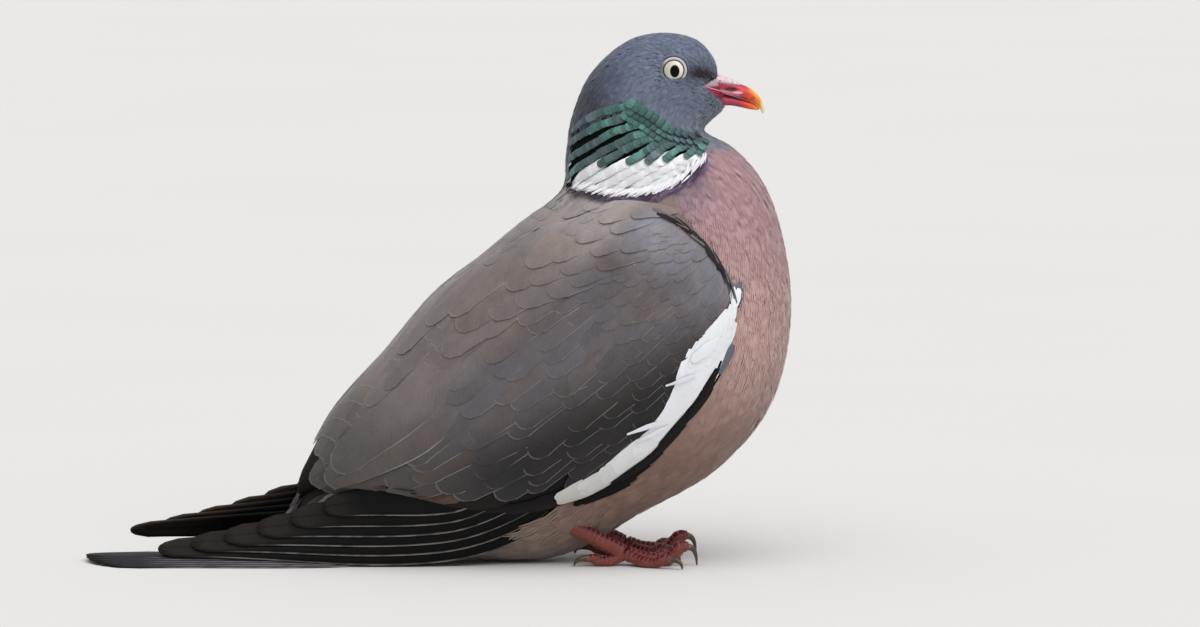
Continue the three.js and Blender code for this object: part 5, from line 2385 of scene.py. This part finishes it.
@dataclass(frozen=True)
class BillFinish:
    """Bill: living horn, crimson skin at the root that turns to orange and a pale yellow nail.

    Its mottling is about 2.4 mm across, 420 to the metre, and streaks of about 1 mm follow its
    length. The horn is worn smooth and lets a little light in, so its colours glow softly.
    """

    name: str

    def material(self) -> Material:
        """Builds the finish.

        Returns:
            The material.
        """
        t = Tree(self.name)
        x, y, z = t.around((0, 0, 0))
        patches = t.add("TexNoise", t.add("TexCoord").outputs["Object"], 420.0, 2.0)
        stretched = t.add("CombineXYZ", t.add(Op.MULTIPLY, x, 0.5), y, t.add(Op.MULTIPLY, z, 3.0))
        streaks = t.add("TexNoise", stretched, 0.9, 2.0)
        along = t.add(Op.MULTIPLY_ADD, t.add(Op.SUBTRACT, z, 173.0), -0.15, t.varied(x, patches, 1.2))
        # pale horn along the ridge of the bill, with a painted highlight
        pale_lit_culmen = t.add(Op.BAND, t.add(Op.ADD, t.add(Op.MULTIPLY, x, 0.85), z), 217.0, 219.6)
        edge = t.add(Op.ADD, z, t.add(Op.MULTIPLY_ADD, x, 0.31, -187.0))
        pale = t.add(Op.MULTIPLY, t.add(Op.BAND, edge, -0.2, 0.15), t.add(Op.BAND, edge, 1.0, 0.6))
        colour = t.layered(
            t.add(Op.BLEND, streaks, linear("86152F"), linear("B23A52")),
            (self.spot(t, x, z, (47.0, 175.4), (2.0, 0.9)), "D6243A"),
            (self.spot(t, x, z, (46.4, 174.0), (2.2, 0.55)), "E3A9B4"),
            # painted shade in the nostril slit, over its dark red skin
            (self.spot(t, x, z, (43.8, 175.3), (2.6, 0.7)), "4C0512"),
            (t.add(Op.BAND, along, 47.0, 50.2), "D43314"),
            (t.add(Op.BAND, along, 49.4, 52.4), "DF5C14"),
            (t.add(Op.BAND, along, 51.8, 54.6), "E5862A"),
            (t.add(Op.MULTIPLY, pale_lit_culmen, t.add(Op.BAND, x, 49.0, 52.0)), "EFC470"),
            (self.spot(t, x, z, (51.9, 171.9), (0.9, 0.8)), "A34A12"),
            (t.add(Op.BAND, x, 54.5, 55.6), "EBDCA4"),
            (t.add(Op.MULTIPLY, pale, t.add(Op.BAND, x, 48.5, 46.0)), "D98C97"),
        )
        return t.finish(
            t.add(Op.ADD, streaks, patches), 0.12, Base_Color=colour, Roughness=0.36,
            Specular_IOR_Level=0.45, Coat_Weight=0.2, Coat_Roughness=0.25, Subsurface_Weight=0.1,
            Subsurface_Scale=0.001,
        )

    def spot(self, t: Tree, x: object, z: object, middle: Pair, size: Pair) -> bpy.types.Node:
        """A soft oval spot on the bill's sides.

        Args:
            t: the tree.
            x: the socket of the place along the bill.
            z: the socket of the height.
            middle: the spot's x and z.
            size: its half length and half height.

        Returns:
            The node that gives its strength.
        """
        squares = []
        for value, centre, half in zip((x, z), middle, size):
            off = t.add(Op.DIVIDE, t.add(Op.SUBTRACT, value, centre), half)
            squares.append(t.add(Op.MULTIPLY, off, off))
        return t.add(Op.BAND, t.add(Op.ADD, *squares), 1.3, 0.4)


@dataclass(frozen=True)
class CereFinish:
    """Cere: swollen living skin under a dry white powder, pink where the powder is thin.

    The powder's grains are drawn 1.3 mm across so that they show, and it is thinner in patches of
    about 4 mm. It makes the skin look chalky.
    """

    name: str = "powdered_cere_skin"

    PALE = "CDB3B9"

    def material(self) -> Material:
        """Builds the finish.

        Returns:
            The material.
        """
        t = Tree(self.name)
        _, _, z = t.around((0, 0, 0))
        where = t.add("TexCoord").outputs["Object"]
        powder = t.add("TexNoise", where, 760.0, 4.0, 0.65)
        patches = t.add("TexNoise", where, 260.0, 2.0)
        colour = t.layered(
            t.add(Op.BLEND, patches, linear("CDA6AE"), linear("E8DCDF")),
            (t.add(Op.BAND, powder, 0.46, 0.3), "85707A"),
            (t.add(Op.BAND, z, 177.4, 176.2), "B8505F"),
        )
        return t.finish(
            powder, 0.22, Base_Color=colour, Roughness=0.8, Specular_IOR_Level=0.25,
            Subsurface_Weight=0.1, Subsurface_Scale=0.001,
        )


@dataclass(frozen=True)
class Bill:
    """The two halves of the bill and the cere, with the nostril slits and the gape's bare skin.

    Each section joins a place on a half's outer line to one on the line of the mouth: two places in
    x and z, and half a width.
    """

    CORNER = (33.6, 177.0)

    upper: tuple[tuple[float, float, float, float, float], ...] = (
        (33.0, 180.0, 33.0, 176.4, 4.2),
        (36.0, 180.1, 36.0, 175.5, 4.5),
        (38.5, 180.3, 38.8, 174.5, 4.6),
        (41.9, 179.4, 41.9, 173.4, 4.25),
        (44.8, 178.4, 44.8, 172.6, 3.9),
        (47.4, 177.1, 47.2, 171.9, 3.6),
        (50.4, 175.8, 49.8, 171.1, 3.2),
        (53.0, 174.0, 52.0, 170.2, 2.75),
        (54.9, 171.9, 53.6, 169.2, 2.2),
        (55.95, 169.7, 54.6, 168.2, 1.6),
        (56.35, 167.6, 55.1, 167.1, 1.0),
        (55.8, 165.95, 55.5, 166.1, 0.4),
    )
    lower: tuple[tuple[float, float, float, float, float], ...] = (
        (33.0, 176.3, 34.0, 169.5, 4.1),
        (36.0, 175.4, 36.5, 169.0, 4.4),
        (38.8, 174.4, 39.2, 168.9, 4.4),
        (41.9, 173.3, 42.0, 169.1, 4.05),
        (44.8, 172.5, 44.6, 169.0, 3.7),
        (47.2, 171.8, 47.3, 168.5, 3.35),
        (49.8, 171.0, 50.4, 167.8, 2.95),
        (52.0, 170.1, 52.8, 167.45, 2.35),
        (53.6, 169.1, 54.0, 167.5, 1.5),
        (54.45, 168.2, 54.5, 167.75, 0.6),
    )

    def half(self, rows: Sequence[Sequence[float]], upper: bool) -> Shape:
        """One half of the bill.

        Args:
            rows: its sections.
            upper: whether it is the upper half.

        Returns:
            The mesh.
        """
        curve = SmoothCurve(rows)

        def place(u: Points, v: Points) -> Points:
            """The half's points at some parts of the way round and along."""
            terms = np.moveaxis(curve(v * (len(rows) - 1)), -1, 0)
            outer, mouth, half = terms[0:2], terms[2:4], terms[4]
            high, low = (outer, mouth) if upper else (mouth, outer)
            c, s = np.cos(u * 2 * np.pi), np.sin(u * 2 * np.pi)
            flat = s < 0 if upper else s > 0
            share = np.where(flat, np.sign(s) * np.abs(s) ** 0.5, s)
            y = half * np.sign(c) * np.abs(c) ** np.where(flat, 0.7, 1.0)
            x, z = (high + low) / 2 + (high - low) / 2 * share
            if upper:
                dent = np.exp(-(((x - 44.0) / 2.6) ** 2) - ((z - 175.2 + 0.12 * (x - 44.0)) / 0.6) ** 2)
                swell = np.exp(-(((x - 46.4) / 1.9) ** 2) - ((z - 174.0) / 0.6) ** 2)
                y = y - np.sign(y) * (1.0 * dent - 0.35 * swell)
            return np.stack([x, y, z], -1)

        return wrapped_grid(56, 80, place)

    def build(self) -> None:
        """Makes the bill's halves and the cere."""
        for rows, word in ((self.upper, "upper"), (self.lower, "lower")):
            shape = self.half(rows, word == "upper")
            piece = finished(shape, f"{word}_bill", BillFinish(f"bill_horn_{word}").material(), "bill")
            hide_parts(f"bill_{word}")
        self.cere()

    def cere(self) -> None:
        """Makes the swollen cere, parted down the middle, over the upper half's root."""
        stops = (33.0, 38.5, 41.9, 44.8, 47.4, 48.6)

        def place(u: Points, v: Points) -> Points:
            """The cere's points at some parts of the way round and along."""
            x = 33.0 + 15.6 * v
            top = np.interp(x, stops, (180.5, 180.75, 179.85, 178.8, 177.35, 176.4))
            low = np.interp(x, stops, (176.8, 176.6, 176.5, 176.3, 175.9, 175.7))
            half = np.interp(x, stops, (4.6, 4.8, 4.45, 3.95, 3.1, 2.6))
            ring = np.sin(np.pi * np.clip(0.5 + (v - 0.5) * 0.98, 0, 1)) ** 0.35
            c, s = np.cos(u * 2 * np.pi), np.sin(u * 2 * np.pi)
            y = half * ring * np.sign(c) * np.abs(c) ** 0.8
            z = (top + low) / 2 + (top - low) / 2 * ring * s
            return np.stack([x, y, z - 0.45 * np.exp(-((y / 0.6) ** 2)) * (s > 0) * ring], -1)

        piece = finished(wrapped_grid(48, 40, place), "cere_swelling", CereFinish().material(), "cere")
        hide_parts("cere")

    @classmethod
    def gape(cls, places: Points) -> Points:
        """How bare some places are by the corners of the mouth, from 0 to 1."""
        ahead, up = places[..., 0] - cls.CORNER[0], places[..., 2] - cls.CORNER[1]
        return ((ahead > 0) & (up < 0.5 * ahead) & (up > -0.84 * ahead)).astype(float)

    def gape_skin(self) -> None:
        """Makes the thin folds of bare skin that run back from the corners of the mouth."""
        folds = (
            ((33.3, 177.2), (37, 175.7), (42, 173.9), (45.8, 172.7)),
            ((33.9, 176.5), (37, 174.9), (41.5, 173.0)),
            ((34.8, 175.8), (37.5, 173.9), (41.2, 172.2)),
            ((36.0, 174.8), (38, 173.2), (41.0, 171.3)),
        )
        at = np.linspace(0, 3, 60)
        skin = Hull((SURFACE.sheet(at, 97, -DEPTH(at)[:, None]),))
        shape = bmesh.new()
        for side in Side:
            for path in folds:
                add_shape(shape, self.fold(path, side, skin))
        finished(shape, "gape_skin", BillFinish("gape_skin").material(), "bill")

    def fold(self, path: Sequence[Pair], side: Side, skin: Hull) -> Shape:
        """One fold of skin along a path on the side of the face.

        Args:
            path: x and z along it.
            side: the side of the face.
            skin: what it lies on behind the bill.

        Returns:
            The mesh.
        """
        curve = SmoothCurve(path)
        stops = np.linspace(0, 1, 12)
        spots = curve(stops * (len(path) - 1))
        inner = [abs(skin.beside(x, z, side).y) if x < 39.5 else 0.0 for x, z in spots]
        outer = np.interp(spots[:, 0], (38, 39, 41.9, 44.8, 46), (0, 4.35, 4.15, 3.75, 3.5))
        widths = np.maximum(inner, outer)

        def place(u: Points, v: Points) -> Points:
            """The fold's points at some parts of the way round and along."""
            x, z = np.moveaxis(curve(v * (len(path) - 1)), -1, 0)
            angle = u * 2 * np.pi
            size = 0.4 * np.sin(np.pi * np.clip(v * 0.9 + 0.08, 0, 1)) ** 0.5
            y = side.value * (np.interp(v, stops, widths) + size * np.cos(angle))
            return np.stack([x, y, z + 0.75 * size * np.sin(angle)], -1)

        return wrapped_grid(8, 24, place)


# ---------------------------------------------------------------- feet


@dataclass(frozen=True)
class FootFinish:
    """Pigeon foot: dark red horn shields over red skin that shows pink in the creases.

    The shields are 1.9 mm long and the scales beside them 0.9 mm across. Worn horn shines a little.
    """

    name: str

    def material(self) -> Material:
        """Builds the finish.

        Returns:
            The material.
        """
        t = Tree(self.name)
        around, along = t.flat("Toe")
        wave = t.add(Op.ABSOLUTE, t.add(Op.SINE, t.add(Op.MULTIPLY, along, math.pi / 1.9)))
        shield = t.add(Op.BAND, wave, 0.12, 0.45)
        top = t.add(Op.BAND, around, 0.27, 0.34)
        where = t.add("TexCoord").outputs["Object"]
        cells = t.add("TexVoronoi", where, 1100.0, feature="DISTANCE_TO_EDGE")
        small = t.add(Op.BAND, cells, 0.03, 0.16)
        blotch = t.add("TexNoise", where, 300.0, 2.0)
        skin, horn, crease = (
            t.add(Op.BLEND, blotch, linear(low), linear(high))
            for low, high in (("662A22", "8C3F30"), ("480A12", "6A161D"), ("A86A66", "8A3C3A"))
        )
        skin = t.add(Op.BLEND, small, linear("8E4B42"), skin)
        shields = t.add(Op.BLEND, shield, crease, horn)
        colour = t.add(Op.BLEND, top, skin, shields)
        height = t.add(Op.BLEND, top, small, shield)
        return t.finish(height, 0.25, Base_Color=colour, Roughness=0.42, Specular_IOR_Level=0.45)


@dataclass(frozen=True)
class ClawFinish:
    """Claw: smooth brown horn, polished by use, with fine lengthwise grain, paler at the root."""

    name: str = "claw_horn"

    def material(self) -> Material:
        """Builds the finish.

        Returns:
            The material.
        """
        t = Tree(self.name)
        around, along = t.flat("Toe")
        stretched = t.add("CombineXYZ", t.add(Op.MULTIPLY, around, 14.0), along, 0.0)
        grain = t.add("TexNoise", stretched, 0.6, 2.0)
        base = t.add(Op.BLEND, grain, linear("33241D"), linear("5C463A"))
        colour = t.layered(base, (t.add(Op.BAND, along, 2.0, 0.0), "7A5A4C"))
        return t.finish(grain, 0.05, Base_Color=colour, Roughness=0.3, Specular_IOR_Level=0.5)


@dataclass(frozen=True)
class ToeSize:
    """A toe: its heading away from the bill and outwards in degrees, its length, the rise of its last
    joint and its radius."""

    name: str
    turn: float
    length: float
    rise: float
    radius: float


TOES = (
    ToeSize("hind", 172, 14, 1.2, 2.0),
    ToeSize("inner", -28, 18, 1.6, 2.1),
    ToeSize("middle", 2, 23.5, 5.0, 2.5),
    ToeSize("outer", 33, 20, 1.8, 2.1),
)


@dataclass(frozen=True)
class Foot:
    """One foot: the shank, four toes with shields and pads, and their claws."""

    side: Side
    joint: tuple[float, float, float] = (5, 17, 4.6)
    shank_to: tuple[float, float, float] = (-17, 16, 15.5)
    shank_radius: float = 2.9
    claw_length: float = 8.6
    claw_reach: float = 0.72
    claw_radius: float = 1.45
    claw_tip: float = 0.3
    shield: float = 1.9

    FACE = 0.38

    def toe_line(self, toe: ToeSize) -> SmoothCurve:
        """A toe's middle line: down from the joint, along the floor and over its last joint."""
        x, y, z = self.joint
        heading = math.radians(toe.turn)
        sole = toe.radius * 0.9
        high = sole + toe.rise
        stops = ((0, z), (0.35, sole + 0.4), (0.65, sole), (0.88, high), (1, sole + toe.rise * 0.95))
        return SmoothCurve(
            [
                (
                    x + toe.length * reach * math.cos(heading),
                    self.side.value * (y + toe.length * reach * math.sin(heading)),
                    height,
                )
                for reach, height in stops
            ]
        )

    def limb(self, points: Points, radius: Points, around: int, raised: float) -> Shape:
        """A closed limb along a line, flat where it meets the floor, with shields on top.

        Args:
            points: its middle line.
            radius: its radius at each of the points.
            around: faces round it.
            raised: how far the shields stand out.

        Returns:
            The mesh, with a Toe map of the way round, 0 below and 0.5 on top, and millimetres along.
        """
        stops = gone(points)
        long = stops[-1]
        ways = unit(np.gradient(points, axis=0))
        level = unit(np.cross(ways, (0, 0, 1.0)))
        up = np.cross(level, ways)

        def place(u: Points, v: Points) -> Points:
            """The limb's points at some parts of the way round and along."""
            angle = u * 2 * np.pi
            top = ease(-np.cos(angle), 0.3, 0.8)
            bump = np.abs(np.sin(np.pi * v * long / self.shield)) ** 0.5
            size = np.interp(v * long, stops, radius) * (1 + raised * top * (bump - 0.6))
            size = size * np.sqrt(np.clip(np.minimum(v, 1 - v) / 0.04, 0.05, 1))
            middle, side, high = (read_rows(v * long, stops, rows) for rows in (points, level, up))
            spot = middle + (side * np.sin(angle)[:, None] - high * np.cos(angle)[:, None]) * size[:, None]
            spot[:, 2] = np.maximum(spot[:, 2], 0.02)
            return spot

        shape = wrapped_grid(around, max(int(long / self.FACE), 12), place)
        wrap = shape.verts.layers.float_vector["wrap"]
        uv = shape.loops.layers.uv.new("Toe")
        for face in shape.faces:
            for loop in face.loops:
                x, _, v = loop.vert[wrap]
                loop[uv].uv = (math.acos(max(-1.0, min(x, 1.0))) / (2 * math.pi), v * long)
        return shape

    def build(self) -> None:
        """Makes the foot and its claws."""
        sign = self.side.value
        shape = bmesh.new()
        lower = np.array([self.joint[0], sign * self.joint[1], self.joint[2]])
        upper = np.array([self.shank_to[0], sign * self.shank_to[1], self.shank_to[2]])
        shank = lower + (upper - lower) * np.linspace(0, 1, 30)[:, None]
        add_shape(shape, self.limb(shank, np.full(30, self.shank_radius), 16, 0.07))
        v = np.linspace(0, 1, 40)
        for toe in TOES:
            line = self.toe_line(toe)(v * 4)
            size = toe.radius * (1.12 - 0.3 * v + 0.08 * np.cos(v * 6 * np.pi))
            add_shape(shape, self.limb(line, size, 16, 0.09))
            self.claw(toe, line)
        word = self.side.word
        piece = finished(shape, f"foot_{word}", FootFinish(f"scaly_foot_{word}").material(), "leg")
        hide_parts(f"leg_{word}")

    def claw(self, toe: ToeSize, line: Points) -> None:
        """Makes one claw, curved from the toe's end down to the floor.

        Args:
            toe: the toe.
            line: the toe's middle line.
        """
        way = unit(line[-1] - line[-3])
        root = line[-1] - way * 0.8
        flat = unit(way * (1, 1, 0))
        reach = math.sqrt(self.claw_length**2 - line[-1][2] ** 2) * self.claw_reach
        knee = root + flat * reach
        knee[2] = root[2] + 0.4
        end = knee.copy()
        end[2] = self.claw_tip
        t = np.linspace(0, 1, 16)[:, None]
        curl = root * (1 - t) ** 2 + 2 * knee * t * (1 - t) + end * t**2
        size = mix(self.claw_radius, self.claw_tip, t[:, 0])
        name = f"horn_claw_{toe.name}_{self.side.word}"
        piece = finished(self.limb(curl, size, 12, 0.0), name, ClawFinish(name).material(), "claw")
        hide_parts(f"claw_{toe.name}_{self.side.word}")


# ---------------------------------------------------------------- the studio


@dataclass(frozen=True)
class Studio:
    """A pale floor, soft light and the camera.

    target, distance and half_width, half the frame's width there, are in the bird's millimetres.
    The sky's softness is its width in degrees. floor_half and sight, how far is drawn, are metres.
    """

    target: tuple[float, float, float] = (-4.4, 0.0, 92.0)
    distance: float = 3000.0
    elevation: float = 5.0
    half_width: float = 222.0
    sky: float = 2.2
    softness: float = 70.0
    room: float = 0.7
    floor_half: float = 15.0
    sight: float = 60.0

    def build(self) -> None:
        """Makes the whole studio."""
        self.floor()
        self.lights()
        self.camera()

    def floor(self) -> None:
        """Lays a wide floor of matt painted board, very faintly cloudy over about 30 cm."""
        shape = bmesh.new()
        bmesh.ops.create_grid(shape, x_segments=8, y_segments=8, size=self.floor_half)
        mesh = bpy.data.meshes.new("floor")
        shape.to_mesh(mesh)
        shape.free()
        tree = Tree("painted_board")
        grain = tree.add("TexNoise", tree.add("TexCoord").outputs["Object"], 3.0, 2.0)
        colour = tree.add(Op.BLEND, grain, linear("DAD8D4"), linear("DEDCD9"))
        paint = tree.finish(Base_Color=colour, Roughness=0.9, Specular_IOR_Level=0.1)
        mesh.materials.append(paint)
        linked("floor", mesh)

    def lights(self) -> None:
        """Lights the studio from a wide soft ceiling and pale walls."""
        sky = bpy.data.lights.new("soft_sky", "SUN")
        sky.energy = self.sky
        sky.angle = math.radians(self.softness)
        lamp = linked("soft_sky", sky)
        lamp.rotation_euler = Vector((-0.25, 0.55, -1.0)).to_track_quat("-Z", "Y").to_euler()
        world = bpy.data.worlds.new("studio")
        world.use_nodes = True
        world.node_tree.nodes["Background"].inputs["Color"].default_value = linear("E6E8EC")
        world.node_tree.nodes["Background"].inputs["Strength"].default_value = self.room
        bpy.context.scene.world = world
        bpy.context.scene.view_settings.view_transform = "Standard"

    def camera(self) -> None:
        """Stands the camera by the bird's right side."""
        data = bpy.data.cameras.new("camera")
        data.sensor_fit = "HORIZONTAL"
        data.angle = 2 * math.atan(self.half_width / self.distance)
        data.clip_end = self.sight
        camera = linked("camera", data)
        target = Vector(STANCE.place(*self.target))
        angle = math.radians(self.elevation)
        back = Vector((0, -math.cos(angle), math.sin(angle))) * self.distance * MM
        camera.location = target + back
        camera.rotation_euler = (-back).to_track_quat("-Z", "Y").to_euler()
        bpy.context.scene.camera = camera


def coat() -> list[Tract]:
    """The tracts of small feathers.

    Returns:
        The tracts, from the face to the tail.
    """
    wisp = Vane(columns=3, rows=3, root=0.6, widest=0.4, taper=0.3, part_from=0.3, fray=0.75)
    frayed = {"part_from": 0.45, "fray": 0.6}
    soft = Vane(columns=3, rows=4, root=0.55, widest=0.4, taper=0.25, round_tip=0.9, **frayed)
    firm = Vane(columns=4, rows=4, root=0.4)
    fine = FeatherFinish("fine_head_barbs", barb=0.35, contrast=0.25, mottle=0.2, chance=0.2, relief=0.03)
    down = FeatherFinish("loose_body_barbs", barb=0.4, contrast=0.15, mottle=0.1, chance=0.06, relief=0.03)
    back = FeatherFinish("mantle_vanes", barb=0.5, contrast=0.2, rim=0.2, rim_from=0.94)
    return [
        Tract("face_feathers", "head_feathers", 0.1, 2.9, wisp, fine, 1, lift=0.12),
        Tract("crown_feathers", "head_feathers", 2.85, 5.7, wisp, fine, 6, lift=0.14),
        Tract("neck_feathers", "neck_feathers", 5.5, 8.3, soft, down, 2, lift=0.2),
        Tract("breast_feathers", "body_feathers", 8.2, 10.0, soft, down, 3, lift=0.17),
        Tract("lower_breast_feathers", "body_feathers", 9.9, 11.6, soft, down, 7, lift=0.2),
        Tract("belly_feathers", "body_feathers", 11.5, 15.0, soft, down, 4, stray=9, lift=0.3),
        Tract("tail_coverts", "body_feathers", 14.9, 16.9, firm, back, 5, lift=0.3),
    ]


def main() -> None:
    """Builds the bird and its studio."""
    logging.basicConfig(level=logging.INFO, format="%(name)s %(message)s")
    Skin().build()
    for tract in coat():
        tract.build()
    for side in Side:
        FoldedWing(side).dress()
        Primaries(side).dress()
        NeckPatch(side).dress()
        Eye(side).build()
        Foot(side).build()
    Tail().dress()
    bill = Bill()
    bill.build()
    bill.gape_skin()
    Studio().build()


if __name__ == "__main__":
    main()
